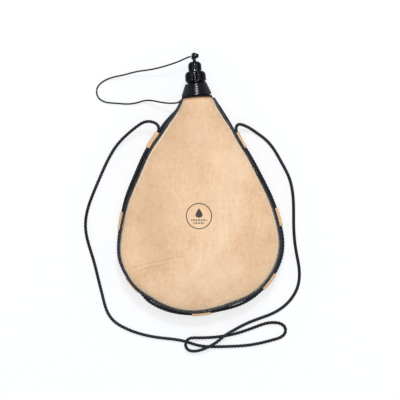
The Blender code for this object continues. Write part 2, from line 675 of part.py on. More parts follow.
def free_cord(name, route, diameter, count, look, parent):
    """A cord that lies free, straight at its ends, its points closer together where its route bends."""
    points = [
        ((column - PHOTO_CENTRE[0]) * PHOTO_SCALE, (PHOTO_CENTRE[1] - row) * PHOTO_SCALE, height)
        for column, row, height in route
    ]
    fine = smooth_curve(points, 20 * len(points))
    first, last = [np.linalg.norm(fine - points[k], axis=1).argmin() for k in (1, -2)]
    fine = fine[first : last + 1]
    steps = np.diff(fine, axis=0)
    lengths = np.linalg.norm(steps, axis=1)
    along = steps / lengths[:, None]
    turns = np.linalg.norm(np.diff(along, axis=0, append=along[-1:]), axis=1)
    effort = np.concatenate([[0], np.cumsum(lengths + BEND_REACH * diameter * turns)])
    wanted = np.linspace(0, effort[-1], count)
    inner = np.column_stack([np.interp(wanted, effort, fine[:, k]) for k in range(3)])
    line = np.vstack([points[0], inner, points[-1]])
    print(name, "length in mm:", round(run_lengths(line)[-1] * 1000, 1))
    return tube(name, line, diameter, look, parent)


# Nozzle


def mouthpiece(name, look, parent):
    stem_cut = LEATHER + LATEX + 2 * CLEARANCE
    foot = NECK_FOOT_RADIUS - stem_cut
    top = NECK_TOP_RADIUS - stem_cut
    throat_z = NECK_LENGTH * (foot - STEM_WALL - THROAT_RADIUS) / (foot - top)
    collar_top = COLLAR_Z + COLLAR_HEIGHT
    profile = [
        (THROAT_RADIUS, THREAD_TOP_Z),
        (THREAD_RADIUS - RIM_CHAMFER, THREAD_TOP_Z),
        (THREAD_RADIUS, THREAD_TOP_Z - RIM_CHAMFER),
        (THREAD_RADIUS, collar_top),
        (COLLAR_RADIUS - RIM_CHAMFER, collar_top),
        (COLLAR_RADIUS, collar_top - RIM_CHAMFER),
        (COLLAR_RADIUS, COLLAR_Z),
        (top, COLLAR_Z),
        (foot, 0),
        (foot, RIM_CHAMFER - STEM_DEPTH),
        (foot - RIM_CHAMFER, -STEM_DEPTH),
        (foot - STEM_WALL, -STEM_DEPTH),
        (foot - STEM_WALL, 0),
        (THROAT_RADIUS, throat_z),
    ]
    return turned(name, profile, 40, look, parent)


def gasket(name, look, parent):
    inner = SPOUT_FLANGE_RADIUS + CLEARANCE
    profile = [
        (inner, GASKET_Z + GASKET_HEIGHT),
        (THREAD_RADIUS - CLEARANCE, GASKET_Z + GASKET_HEIGHT),
        (THREAD_RADIUS - CLEARANCE, GASKET_Z),
        (inner, GASKET_Z),
    ]
    return turned(name, profile, 32, look, parent)


def filler_cap(name, look, parent):
    low = COLLAR_Z + COLLAR_HEIGHT + CLEARANCE
    inner = THREAD_RADIUS + FILLER_WALL_GAP
    hole = SPOUT_RADIUS + CLEARANCE
    shoulder = arc(
        (FILLER_RADIUS - FILLER_SHOULDER_WIDTH, FILLER_TOP_Z - FILLER_SHOULDER_DROP),
        (FILLER_SHOULDER_WIDTH, FILLER_SHOULDER_DROP), 90, 0, 5,
    )
    profile = [
        (hole, FILLER_TOP_Z),
        *shoulder,
        (FILLER_RADIUS, low + 2 * RIM_CHAMFER),
        (FILLER_RADIUS - RIM_CHAMFER, low),
        (inner, low),
        (inner, FILLER_ROOF_Z),
        (hole, FILLER_ROOF_Z),
    ]
    cap = turned(name, profile, FILLER_FLUTE_CORNERS * FILLER_FLUTES, look, parent)
    flute(cap, FILLER_RADIUS, low + RIM_CHAMFER, FILLER_TOP_Z, FILLER_FLUTES)
    return cap


def spout(name, look, parent):
    flange_top = GASKET_Z + GASKET_HEIGHT
    jet_foot = SPOUT_TIP_Z - JET_LENGTH
    profile = [
        (JET_RADIUS, SPOUT_TIP_Z),
        (SPOUT_TIP_RADIUS, SPOUT_TIP_Z),
        (SPOUT_RADIUS, SPOUT_SHOULDER_Z),
        (SPOUT_RADIUS, flange_top),
        (SPOUT_FLANGE_RADIUS, flange_top),
        (SPOUT_FLANGE_RADIUS, GASKET_Z),
        (SPOUT_BORE_RADIUS, GASKET_Z),
        (SPOUT_BORE_RADIUS, jet_foot - SPOUT_BORE_RADIUS),
        (JET_RADIUS, jet_foot),
    ]
    return turned(name, profile, 32, look, parent)


def stopper_seal(name, look, parent):
    profile = [(0, SEAL_Z + SEAL_HEIGHT), (SEAL_RADIUS, SEAL_Z + SEAL_HEIGHT), (SEAL_RADIUS, SEAL_Z), (0, SEAL_Z)]
    return turned(name, profile, 24, look, parent)


def stopper_cap(name, look, parent):
    low = FILLER_TOP_Z + CLEARANCE
    inner = SPOUT_RADIUS + CLEARANCE
    seat = SEAL_RADIUS + CLEARANCE
    shoulder = arc(
        (STOPPER_RADIUS - STOPPER_SHOULDER_WIDTH, STOPPER_TOP_Z - STOPPER_SHOULDER_DROP),
        (STOPPER_SHOULDER_WIDTH, STOPPER_SHOULDER_DROP), 90, 0, 5,
    )
    knob = arc((0, KNOB_Z), (KNOB_RADIUS, KNOB_HEIGHT), 90, 0, 4)
    profile = [
        (0, NOZZLE_LENGTH),
        *knob[1:],
        (GROOVE_RADIUS, KNOB_Z - KNOB_LIP),
        (GROOVE_RADIUS, GROOVE_Z),
        (STALK_RADIUS, GROOVE_Z),
        *shoulder,
        (STOPPER_RADIUS, low + 2 * RIM_CHAMFER),
        (STOPPER_RADIUS - RIM_CHAMFER, low),
        (inner, low),
        (inner, SPOUT_SHOULDER_Z + CLEARANCE),
        (seat, SPOUT_TIP_Z),
        (seat, STOPPER_ROOF_Z),
        (0, STOPPER_ROOF_Z),
    ]
    cap = turned(name, profile, STOPPER_FLUTE_CORNERS * STOPPER_FLUTES, look, parent)
    flute(cap, STOPPER_RADIUS, low + RIM_CHAMFER, STOPPER_TOP_Z, STOPPER_FLUTES)
    return cap


# Build

for old in list(bpy.data.objects):
    bpy.data.objects.remove(old)
PARTS = bpy.data.collections.new("leather_bota_bag")
bpy.context.scene.collection.children.link(PARTS)

TAN_LEATHER = material("Tan leather", (0.82, 0.58, 0.38), 0.55)
LOOP_TAN = material("Loop leather", (0.84, 0.56, 0.33), 0.6)
LATEX_LOOK = material("Latex", (0.62, 0.5, 0.3), 0.5)
BLACK_PIPING = material("Black piping", (0.006, 0.008, 0.012), 0.5)
BLACK_CORD = material("Black strap cord", (0.01, 0.011, 0.014), 0.7)
WAXED_CORD = material("Waxed cord", (0.008, 0.01, 0.016), 0.25)
BLACK_PLASTIC = material("Black moulded plastic", (0.008, 0.009, 0.014), 0.2)
SEAL_RUBBER = material("Seal rubber", (0.5, 0.48, 0.45), 0.6)

bag = bpy.data.objects.new("bag", None)
PARTS.objects.link(bag)
nozzle = bpy.data.objects.new("nozzle_axis", None)
PARTS.objects.link(nozzle)
nozzle.parent = bag
nozzle.location = in_world(0, BODY_LENGTH, 0)
nozzle.rotation_euler = (-math.pi / 2, 0, NECK_LEAN)

panel("front_panel", 1, TAN_LEATHER, bag)
panel("back_panel", -1, TAN_LEATHER, bag)
bladder("latex_bladder", LATEX_LOOK, bag)

PIPING_OUT = PIPING_RADIUS + CLEARANCE / 2
PIPING_UP = FLANGE_OUTER + CLEARANCE + PIPING_RADIUS
for piping_name, way in (("front_piping", 1), ("back_piping", -1)):
    piping_points = seam_line(SEAM_START, SEAM_END, PIPING_OUT, PIPING_UP * way, 70)
    tube(piping_name, piping_points, PIPING_DIAMETER, BLACK_PIPING, bag, bevel_resolution=1)
seam_cord("strap_cord_seam", BLACK_CORD, bag)
for number, loop_middle in enumerate(loop_middles(), 1):
    cord_loop(f"cord_loop_{number}", loop_middle, LOOP_TAN, bag)

mouthpiece("mouthpiece", BLACK_PLASTIC, nozzle)
neck_winding("neck_winding", WAXED_CORD, nozzle)
neck_loop("tether_neck_loop", BLACK_CORD, nozzle)
gasket("filler_gasket", SEAL_RUBBER, nozzle)
filler_cap("filler_cap", BLACK_PLASTIC, nozzle)
spout("spout", BLACK_PLASTIC, nozzle)
stopper_seal("stopper_seal", SEAL_RUBBER, nozzle)
stopper_cap("stopper_cap", BLACK_PLASTIC, nozzle)
knob_loop("tether_knob_loop", BLACK_CORD, nozzle)

free_cord("strap_cord_free", STRAP_ROUTE, STRAP_DIAMETER, 80, BLACK_CORD, bag)
free_cord("tether_cord_upper", TETHER_UPPER_ROUTE, TETHER_DIAMETER, 24, BLACK_CORD, bag)
free_cord("tether_cord_lower", TETHER_LOWER_ROUTE, TETHER_DIAMETER, 24, BLACK_CORD, bag)

bpy.context.view_layer.update()
print("nozzle axis foot:", [round(v, 5) for v in nozzle.matrix_world.translation])
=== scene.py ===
"""The looks of a leather bota bag that lies on its back, seen straight from above."""
import math

import bpy
import numpy as np
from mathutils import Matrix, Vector
from mathutils.kdtree import KDTree


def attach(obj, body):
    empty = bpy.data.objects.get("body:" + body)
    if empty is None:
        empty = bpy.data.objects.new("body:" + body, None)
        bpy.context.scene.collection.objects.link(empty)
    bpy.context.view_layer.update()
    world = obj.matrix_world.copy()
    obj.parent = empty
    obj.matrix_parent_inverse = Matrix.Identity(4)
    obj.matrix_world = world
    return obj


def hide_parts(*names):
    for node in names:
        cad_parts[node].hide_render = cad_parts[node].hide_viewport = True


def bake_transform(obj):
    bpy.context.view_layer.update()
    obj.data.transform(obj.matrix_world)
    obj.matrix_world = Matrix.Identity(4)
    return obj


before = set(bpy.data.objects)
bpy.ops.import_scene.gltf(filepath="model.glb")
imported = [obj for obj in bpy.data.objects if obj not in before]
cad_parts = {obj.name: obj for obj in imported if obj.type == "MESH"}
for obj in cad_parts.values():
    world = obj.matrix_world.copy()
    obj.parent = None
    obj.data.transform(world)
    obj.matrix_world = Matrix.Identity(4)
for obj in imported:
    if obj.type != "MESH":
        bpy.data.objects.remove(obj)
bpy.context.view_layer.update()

# Camera. It hangs five metres over the table and looks straight down, so the photo is nearly free of
# perspective. The lens makes one of its 400 pixels 1.4 mm at the height of the seam.

bpy.ops.object.select_all(action="DESELECT")
bpy.ops.object.camera_add(location=(0, -0.02156, 5), rotation=(0, 0, 0))
camera = bpy.context.object
camera.data.sensor_width = 36
camera.data.lens = 319.8
bpy.context.scene.camera = camera
bpy.context.scene.view_settings.view_transform = "Standard"

# Strap cord, the free stretch. It is a 4.5 mm cord of three polyester strands, laid, black with a blue cast.
# It leaves the seam at the left shoulder, lies on the table round the bag and goes back in at the right one.

MM = 0.001
STRAP_DIAMETER = 4.5 * MM
STRAP_LAY = 14 * MM
# One pixel of the photo in mm, and the column and row of the part's origin in it
PIXEL = 1.4
ORIGIN_COLUMN = 200
ORIGIN_ROW = 184.6
# Column and row in the photo, height above the table in mm
STRAP_ROUTE = (
    (157.66, 132.71, 27.62), (157.94, 132.3, 27.64), (158.62, 130.3, 27.6), (158.82, 128.98, 27.6),
    (157.94, 125.7, 27.4), (155.5, 123.3, 26.8), (152, 121.9, 25.8), (147.5, 121.5, 24.5), (143, 122.6, 22.8),
    (138.8, 125, 21), (131.5, 130.5, 17), (124.5, 136.6, 12.8), (117, 144.6, 8.5), (110.5, 154.3, 5),
    (105, 165, 2.8), (100.3, 175.5), (92.5, 194), (87, 210), (85, 227), (88.3, 245), (93.2, 261), (98, 280),
    (102.5, 298), (106.8, 312), (112.5, 320.5), (124, 328.3), (140, 334.4), (160, 338.4), (175.7, 340.2),
    (185.5, 342.2), (195, 345.2), (205, 347.1), (217.5, 347.4), (232, 347), (247, 346), (262, 343.4),
    (275, 340), (281.4, 337.6), (285.3, 333.7), (285.6, 328.8), (282, 324.8), (276, 323.2), (267.5, 323.7),
    (257, 327), (247, 330.7), (237, 333.9), (227, 336.1), (216.5, 337.6), (206, 338.3, 2.7),
    (198, 338.4, 4.5), (192.1, 338.5, 6.2), (188.8, 339.4, 7), (186.4, 341.8, 7.3), (185.5, 345, 6.8),
    (186.4, 348.3, 6), (188.8, 350.7, 5.4), (192.3, 351.7, 5.3), (198, 351.3, 6), (204.8, 349.1, 7.3),
    (211.3, 346, 7.6), (217.7, 341.9, 7.5), (224.7, 336.3, 7.5), (234, 330.7, 5), (246.5, 324.2, 2.8),
    (260, 318.9), (272.6, 314), (283, 307.8), (291, 300), (296.8, 290.5), (299.6, 279.5), (299.4, 267.5),
    (297, 254), (295, 240), (294.1, 224), (294, 208), (293, 192.5), (289.3, 177), (282, 162.5),
    (273.8, 148.5), (265.5, 139, 2.8), (257.5, 133, 4.6), (251, 128.6, 7.6), (245.8, 125.9, 11),
    (240.83, 124.38, 15.1), (238.26, 124.6, 18.5), (236.5, 126.46, 21.8), (235.98, 129.47, 24.3),
    (236.65, 132.36, 25.23), (236.87, 132.81, 25.21),
)


def photo_points(route, lying=0):
    """Places in the photo as places over the table. One without a height has a lying cord's."""
    return [((column - ORIGIN_COLUMN) * PIXEL * MM, (ORIGIN_ROW - row) * PIXEL * MM, (*height, lying)[0] * MM)
            for column, row, *height in route]


def run_lengths(line):
    """How far along a line each of its points is."""
    return np.concatenate([[0], np.cumsum(np.linalg.norm(np.diff(line, axis=0), axis=1))])


def smooth_line(points, spacing):
    """A natural cubic spline through the points, read about every spacing of its length."""
    points = np.array(points, float)
    steps = np.linalg.norm(np.diff(points, axis=0), axis=1)
    knots = run_lengths(points)
    size = len(points)
    system = np.eye(size)
    target = np.zeros_like(points)
    for i in range(1, size - 1):
        system[i, i - 1 : i + 2] = steps[i - 1], 2 * (steps[i - 1] + steps[i]), steps[i]
        target[i] = 6 * ((points[i + 1] - points[i]) / steps[i] - (points[i] - points[i - 1]) / steps[i - 1])
    bends = np.linalg.solve(system, target)
    places = np.linspace(0, knots[-1], 30 * size)
    left = np.clip(np.searchsorted(knots, places, side="right") - 1, 0, size - 2)
    step = steps[left][:, None]
    ahead = (knots[left + 1] - places)[:, None]
    behind = (places - knots[left])[:, None]
    fine = (
        (bends[left] * ahead**3 + bends[left + 1] * behind**3) / (6 * step)
        + (points[left] / step - bends[left] * step / 6) * ahead
        + (points[left + 1] / step - bends[left + 1] * step / 6) * behind
    )
    run = run_lengths(fine)
    wanted = np.linspace(0, run[-1], max(round(run[-1] / spacing), 2) + 1)
    return np.column_stack([np.interp(wanted, run, fine[:, k]) for k in range(fine.shape[1])])


def pick(piece):
    """Selects that object alone."""
    bpy.ops.object.select_all(action="DESELECT")
    piece.select_set(True)
    bpy.context.view_layer.objects.active = piece


def lay_cord(name, line, diameter, strands, lay, lobe=0.16, stretch=(1, 1), corners=7, twist="MINIMUM"):
    """A laid cord along a line: its section has one lobe a strand and turns once round in every lay.
    Its UV map has the way round the cord across, and the lays along it upwards."""
    bpy.ops.object.select_all(action="DESELECT")
    bpy.ops.mesh.primitive_circle_add(vertices=corners * strands, radius=diameter / 2)
    section = bpy.context.object
    for vertex in section.data.vertices:
        angle = math.atan2(vertex.co.y, vertex.co.x)
        vertex.co *= 1.03 - lobe * (1 - abs(math.cos(strands * angle / 2)))
        vertex.co.x *= stretch[0]
        vertex.co.y *= stretch[1]
    bpy.ops.object.convert(target="CURVE")
    curve = bpy.data.curves.new(name, "CURVE")
    curve.dimensions = "3D"
    curve.twist_mode = twist
    curve.bevel_mode = "OBJECT"
    curve.bevel_object = section
    curve.use_fill_caps = True
    spline = curve.splines.new("POLY")
    spline.points.add(len(line) - 1)
    run = run_lengths(line)
    for point, place, along in zip(spline.points, line, run):
        point.co = (*place, 1)
        point.tilt = 2 * math.pi * along / lay if lay else 0
    cord = bpy.data.objects.new(name, curve)
    bpy.context.scene.collection.objects.link(cord)
    pick(cord)
    bpy.ops.object.convert(target="MESH")
    cord = bpy.context.object
    bpy.data.objects.remove(section)
    bpy.ops.object.mode_set(mode="EDIT")
    bpy.ops.mesh.select_all(action="SELECT")
    bpy.ops.mesh.remove_doubles(threshold=1e-6)
    bpy.ops.object.mode_set(mode="OBJECT")
    bpy.ops.object.shade_smooth()
    places = np.zeros(2 * len(cord.data.loops))
    uv = cord.data.uv_layers[0].data
    uv.foreach_get("uv", places)
    places[1::2] *= run[-1] / (lay or 4 * diameter)
    uv.foreach_set("uv", places)
    return cord


def linear(code):
    """An sRGB hex colour in linear light."""
    shares = [int(code[i : i + 2], 16) / 255 for i in (1, 3, 5)]
    return (*[s / 12.92 if s <= 0.04045 else ((s + 0.055) / 1.055) ** 2.4 for s in shares], 1)


def add_node(tree, kind, inputs=None, **settings):
    """A node with its settings, its inputs set to values or joined to other nodes."""
    node = tree.nodes.new(kind)
    for setting, value in settings.items():
        setattr(node, setting, value)
    for key, value in (inputs or {}).items():
        if isinstance(value, bpy.types.Node):
            value = value.outputs[0]
        if isinstance(value, bpy.types.NodeSocket):
            tree.links.new(value, node.inputs[key])
        else:
            node.inputs[key].default_value = value
    return node


def calc(tree, operation, *values, **settings):
    """One calculation with the values."""
    return add_node(tree, "ShaderNodeMath", dict(enumerate(values)), operation=operation, **settings)


def remap(tree, value, start, end, low=0, high=1, **settings):
    """The value, with start to end turned into low to high."""
    return add_node(tree, "ShaderNodeMapRange", {"Value": value, "From Min": start, "From Max": end,
                                                 "To Min": low, "To Max": high}, **settings)


def noise(tree, place, scale, detail, roughness=0.5, distortion=0):
    """Noise with that many cells to the metre at its coarsest, where place is in metres."""
    return add_node(tree, "ShaderNodeTexNoise", {"Vector": place, "Scale": scale, "Detail": detail,
                                                 "Roughness": roughness, "Distortion": distortion})


def object_place(tree):
    """The place on the finished object, in metres."""
    return add_node(tree, "ShaderNodeTexCoord").outputs["Object"]


def two_tone(tree, shader, factor, dark, light):
    """Gives the shader a colour that goes from dark to light with the factor."""
    tones = {"Factor": factor, 6: linear(dark), 7: linear(light)}
    colour = add_node(tree, "ShaderNodeMix", tones, data_type="RGBA")
    tree.links.new(colour.outputs[2], shader.inputs["Base Color"])


def add_relief(tree, shader, height, strength, distance):
    """Gives the shader a fine relief with that height."""
    bump = add_node(tree, "ShaderNodeBump", {"Height": height, "Strength": strength, "Distance": distance})
    tree.links.new(bump.outputs[0], shader.inputs["Normal"])


def new_material(name, roughness, **values):
    """A material of that roughness, and its node tree and shader."""
    made = bpy.data.materials.new(name)
    made.use_nodes = True
    shader = made.node_tree.nodes["Principled BSDF"]
    shader.inputs["Roughness"].default_value = roughness
    for key, value in values.items():
        shader.inputs[key.replace("_", " ").title().replace("Ior", "IOR")].default_value = value
    return made, made.node_tree, shader


def phase(tree, uv, round_it, along_it):
    """An angle that grows by that much with each turn round a cord and each lay along it."""
    shares = {0: uv, 1: (round_it, along_it, 0)}
    return add_node(tree, "ShaderNodeVectorMath", shares, operation="DOT_PRODUCT").outputs["Value"]


def laid_fibre(name, dark, light, roughness, strands, yarns, relief, sheen=0):
    """A laid cord's fibre: painted shade makes it dark in the grooves between the strands, with yarns that
    run along the cord.
    """
    made, tree, shader = new_material(name, roughness, sheen_weight=sheen, sheen_roughness=0.4)
    uv = add_node(tree, "ShaderNodeUVMap")
    # The yarns lie nearly straight along the cord, because a strand is twisted against its lay
    yarn = calc(tree, "SINE", phase(tree, uv, yarns * 2 * math.pi, yarns * 2 * math.pi))
    # Painted shade: the colour goes dark in the grooves between the strands, and the crests stay lighter
    crest = calc(tree, "ABSOLUTE", calc(tree, "COSINE", phase(tree, uv, strands * math.pi, 0)))
    scaled = add_node(tree, "ShaderNodeMapping", {"Vector": uv, "Scale": (9, 5, 1)})
    fluff = noise(tree, scaled, 3, 3, 0.7)
    lit = calc(tree, "MULTIPLY", yarn, 0.22)
    lit = calc(tree, "MULTIPLY_ADD", fluff, 0.8, lit)
    lit = calc(tree, "MULTIPLY", lit, crest, use_clamp=True)
    two_tone(tree, shader, lit, dark, light)
    add_relief(tree, shader, lit, 0.6, relief)
    return made


# Spun polyester cord, dyed black and matt. Its crests are painted a faint blue, partly painted light, and its
# grooves nearly black as painted shade. A real yarn is half a millimetre wide, and is drawn 1.2 mm wide so
# that it shows.
strap_fibre = laid_fibre("spun polyester cord, black", "#030406", "#2d3445", 0.7, 3, 12, 0.25 * MM, 0.04)
strap_line = smooth_line(photo_points(STRAP_ROUTE, 2.25), 0.9 * MM)
strap_free = lay_cord("strap_cord_laid", strap_line, STRAP_DIAMETER, 3, STRAP_LAY, lobe=0.36, corners=7)
strap_free.data.materials.append(strap_fibre)
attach(strap_free, "bag")
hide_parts("strap_cord_free")

# Tether. A black cord of three strands, 2.3 mm thick where it is slack, holds the stopper cap to the neck, so
# it isn't lost while drinking. Its two stretches meet where it lies on the table, and lift with the caps.

TETHER_DIAMETER = 2.3 * MM
# Wound tight round the neck and the knob it draws thinner
TETHER_TIGHT = 2 * MM
TETHER_LAY = 5.4 * MM
TETHER_UPPER_ROUTE = (
    (190.75, 56.4, 25.4), (186.4, 58, 25.6), (180.7, 60.6, 25.2), (172.7, 63.6, 23.8), (164.7, 66.1, 21.5),
    (156.7, 68.1, 18.8), (148.8, 69.6, 16), (140.8, 70.6, 13.2), (132, 72.3, 10.4), (124, 74.4, 7.8),
    (114.5, 76.3, 5), (108, 78.3, 3.2), (102, 81.4, 1.8), (98, 85.3, 1.1), (96.4, 88.7), (96.25, 90),
)
TETHER_LOWER_ROUTE = (
    (96.2, 90.25), (96.2, 91.5), (97.1, 95.6), (99.6, 98.9), (104, 101.3), (109.5, 102.4), (117, 102.9),
    (125, 103.5), (131, 103.3, 1.2), (137, 102.2, 2.5), (143, 100.5, 4.8), (148.5, 100, 7.8),
    (154, 100.7, 11.2), (161, 102.1, 15.5), (168.7, 103.1, 19.7), (174.3, 103.1, 22.8), (178.2, 102.4, 24.6),
    (180.9, 100.8, 25.4),
)
# Waxed cotton, dyed black: a little smoother and deeper than the strap's fibre.
tether_fibre = laid_fibre("waxed cotton cord, black", "#050608", "#1b1e26", 0.65, 3, 9, 0.06 * MM)
for tether_name, route, node, bodies in (
    ("tether_upper_laid", TETHER_UPPER_ROUTE, "tether_cord_upper", ("filler_carrier", "stopper_carrier")),
    ("tether_lower_laid", TETHER_LOWER_ROUTE, "tether_cord_lower", ("bag", "filler_carrier")),
):
    tether_line = smooth_line(photo_points(route[::-1], 1), 0.7 * MM)
    tether = lay_cord(tether_name, tether_line, TETHER_DIAMETER, 3, TETHER_LAY, corners=5)
    tether.data.materials.append(tether_fibre)
    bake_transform(tether)
    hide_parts(node)

# Leather panels. Two pieces of vegetable-tanned goat leather, 1.4 mm thick, are cut to a teardrop and sewn
# together all round. They were soaked and blown up to shape, so they bulge, and pleat where the neck is tied.

# The leather's edge, from the left of the neck round the bottom to its right: x and y in mm
SEAM_ROUTE = (
    (-25.54, 113.36), (-33.01, 100.34), (-42.67, 89.12), (-51.83, 76.22), (-60.64, 63.09), (-69.03, 49.69),
    (-76.24, 35.63), (-82.42, 21.07), (-88.44, 6.45), (-94.49, -8.16), (-99.72, -23.08), (-103.48, -38.43),
    (-106.23, -54), (-108.45, -69.66), (-109.67, -85.42), (-108.8, -101.18), (-104.04, -116.21),
    (-96.38, -130.03), (-86.48, -142.32), (-74.36, -152.44), (-61.28, -161.32), (-47.22, -168.54),
    (-32.24, -173.55), (-16.65, -176.07), (-0.86, -175.97), (14.76, -173.53), (30.01, -169.38),
    (44.98, -164.29), (59.73, -158.6), (73.57, -151.01), (85.74, -140.94), (95.85, -128.82),
    (103.73, -115.12), (108.9, -100.21), (110.95, -84.56), (109.92, -68.8), (106.81, -53.3), (102.51, -38.09),
    (97.07, -23.24), (90.53, -8.85), (83.37, 5.25), (76.12, 19.3), (68.74, 33.29), (60.68, 46.89),
    (52.33, 60.31), (45.47, 74.56), (37.34, 88.09), (28.37, 102.42), (19.54, 116.51),
)
SEAM_HEIGHT = 25.4 * MM
NECK_FOOT = Vector((-4.2, 120.66, 25.4)) * MM
NECK_AXIS = Vector((-0.069756, 0.997564, 0))
NECK_LEAN = math.radians(4)
seam_edge = smooth_line([(x * MM, y * MM) for x, y in SEAM_ROUTE], 1 * MM)
seam_run = run_lengths(seam_edge)
SEAM_LENGTH = float(seam_run[-1])
# A piping edges each panel. Its cord lies this far outside the leather's edge and above its middle
PIPING_DIAMETER = 3.6 * MM
PIPING_OUT = 2 * MM
PIPING_UP = 4.8 * MM
# The seam is rolled over, less and less over this reach round it: shares of its length from the left of the
# neck, and angles in degrees
ROLL_REACH = 18 * MM
ROLL = ((0, 0), (0.012, 0), (0.02, 8), (0.0275, 16), (0.0385, 19), (0.0535, 29), (0.075, 30), (0.09, 23),
        (0.16, 14), (0.22, -4), (0.3, -30), (0.375, -36), (0.4, -14), (0.45, -9), (0.5, -6), (0.61, -5),
        (0.64, 0), (0.75, 0), (0.85, -6), (0.91, -10), (0.94, 2), (0.96, 8), (0.985, 8), (1, 0))


def seam_point(run, out, up):
    """A place beside the seam: a length along it, out from the leather's edge, and up from its middle."""
    before, edge, after = [np.array([np.interp(run + d, seam_run, seam_edge[:, k]) for k in (0, 1)])
                           for d in (-2 * MM, 0, 2 * MM)]
    along = (after - before) / np.linalg.norm(after - before)
    angle = math.radians(np.interp(run / SEAM_LENGTH, *zip(*ROLL)))
    angle *= math.exp(-(out**2 + up**2) / ROLL_REACH**2)
    out, up = out * math.cos(angle) - up * math.sin(angle), out * math.sin(angle) + up * math.cos(angle)
    return np.array([edge[0] + out * along[1], edge[1] - out * along[0], SEAM_HEIGHT + up])


def smooth_copy(node, name, levels):
    """A finer skin for a CAD node: its faces joined to four-sided ones and subdivided. The corners that steer
    the subdivision are moved out until the fine skin runs through the CAD's own corners."""
    skin = bpy.data.objects.new(name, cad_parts[node].data.copy())
    skin.data.name = name
    skin.data.materials.clear()
    bpy.context.scene.collection.objects.link(skin)
    pick(skin)
    bpy.ops.object.mode_set(mode="EDIT")
    bpy.ops.mesh.select_all(action="SELECT")
    bpy.ops.mesh.remove_doubles(threshold=1e-5)
    bpy.ops.mesh.tris_convert_to_quads(face_threshold=math.pi, shape_threshold=math.pi)
    bpy.ops.object.mode_set(mode="OBJECT")
    count = len(skin.data.vertices)
    wanted = np.zeros(3 * count)
    skin.data.vertices.foreach_get("co", wanted)
    steering = wanted.copy()
    subdivision = skin.modifiers.new("Subdivision", "SUBSURF")
    subdivision.levels = 1
    for _ in range(8):
        fine = skin.evaluated_get(bpy.context.evaluated_depsgraph_get()).data
        reached = np.zeros(3 * len(fine.vertices))
        fine.vertices.foreach_get("co", reached)
        steering += wanted - reached[: 3 * count]
        skin.data.vertices.foreach_set("co", steering)
        skin.data.update()
    subdivision.levels = levels
    subdivision.render_levels = levels
    bpy.ops.object.modifier_apply(modifier=subdivision.name)
    bpy.ops.object.shade_smooth()
    return skin


def goat_leather(name, pale, mid, deep):
    """Vegetable-tanned goat leather, lightly waxed: warm tan, mottled, with a soft sheen and fine grain.
    Gives the material, its tree and shader, and the nodes of its colour, its relief and its roughness."""
    made, tree, shader = new_material(name, 0.5, specular_ior_level=0.4, sheen_weight=0.08,
                                      sheen_roughness=0.5)
    place = object_place(tree)
    # Cloudy patches of about 30 mm, where the tan took unevenly
    clouds = noise(tree, place, 33, 3)
    # Fine mottling of about 5 mm
    mottle = noise(tree, place, 200, 4, 0.55)
    # Stretch lines of about 3 mm by 15 mm, along the bag, that wander
    drawn = add_node(tree, "ShaderNodeMapping", {"Vector": place, "Scale": (1, 0.2, 0.4)})
    streaks = noise(tree, drawn, 300, 2, distortion=1.2)
    tone = calc(tree, "MULTIPLY", mottle, 0.5)
    tone = calc(tree, "MULTIPLY_ADD", streaks, 0.32, tone)
    tone = calc(tree, "MULTIPLY_ADD", clouds, 0.68, tone)
    ramp = add_node(tree, "ShaderNodeValToRGB", {"Fac": tone})
    ramp.color_ramp.elements[0].position = 0.45
    ramp.color_ramp.elements[0].color = linear(deep)
    ramp.color_ramp.elements[1].position = 0.95
    ramp.color_ramp.elements[1].color = linear(pale)
    ramp.color_ramp.elements.new(0.7).color = linear(mid)
    # Grain cells of about 0.7 mm, with the streaks and the mottling under them
    grain = add_node(tree, "ShaderNodeTexVoronoi", {"Vector": place, "Scale": 1400},
                     feature="DISTANCE_TO_EDGE")
    relief = calc(tree, "MULTIPLY", grain, 0.25)
    relief = calc(tree, "MULTIPLY_ADD", streaks, 0.4, relief)
    relief = calc(tree, "MULTIPLY_ADD", mottle, 0.5, relief)
    shine = remap(tree, mottle, 0, 1, 0.42, 0.62)
    tree.links.new(ramp.outputs["Color"], shader.inputs["Base Color"])
    add_relief(tree, shader, relief, 0.35, 0.3 * MM)
    tree.links.new(shine.outputs[0], shader.inputs["Roughness"])
    return made, tree, shader, ramp, relief, shine


tan_leather, tree, shader, tan, relief, shine = goat_leather(
    "vegetable-tanned goat leather", "#f3cea8", "#e7c098", "#d8aa80")
place = object_place(tree)
colour = tan.outputs["Color"]


def paint(colour, factor, code):
    """The colour so far with another one laid over it."""
    over = add_node(tree, "ShaderNodeMix", {"Factor": factor, 6: colour, 7: linear(code)}, data_type="RGBA")
    return over.outputs[2]


# Broad patches make the panel darker in places and paler in others; the two widest are painted shade over the
# top and painted light over the bottom
tone = add_node(tree, "ShaderNodeAttribute", attribute_name="tone").outputs["Fac"]
colour = paint(colour, calc(tree, "MULTIPLY", tone, -1, use_clamp=True), "#c39c79")
colour = paint(colour, calc(tree, "MULTIPLY", tone, 1, use_clamp=True), "#f7ddbd")
# Single marks: a bell over the distance from the mark's line, in half widths, times its strength
mark = add_node(tree, "ShaderNodeAttribute", attribute_name="mark")
mark = add_node(tree, "ShaderNodeSeparateXYZ", {0: mark.outputs["Vector"]})
bell = calc(tree, "MULTIPLY", mark.outputs[0], mark.outputs[0])
bell = calc(tree, "EXPONENT", calc(tree, "MULTIPLY", bell, -1))
bell = calc(tree, "MULTIPLY", bell, mark.outputs[1])
# The pair of dark marks and the pale one beside them at the lower left are a crease's painted shade and
# painted light
colour = paint(colour, calc(tree, "MULTIPLY", bell, -1, use_clamp=True), "#b98c66")
colour = paint(colour, calc(tree, "MULTIPLY", bell, 1, use_clamp=True), "#fbe6c9")
relief = calc(tree, "MULTIPLY_ADD", bell, 0.7, relief)
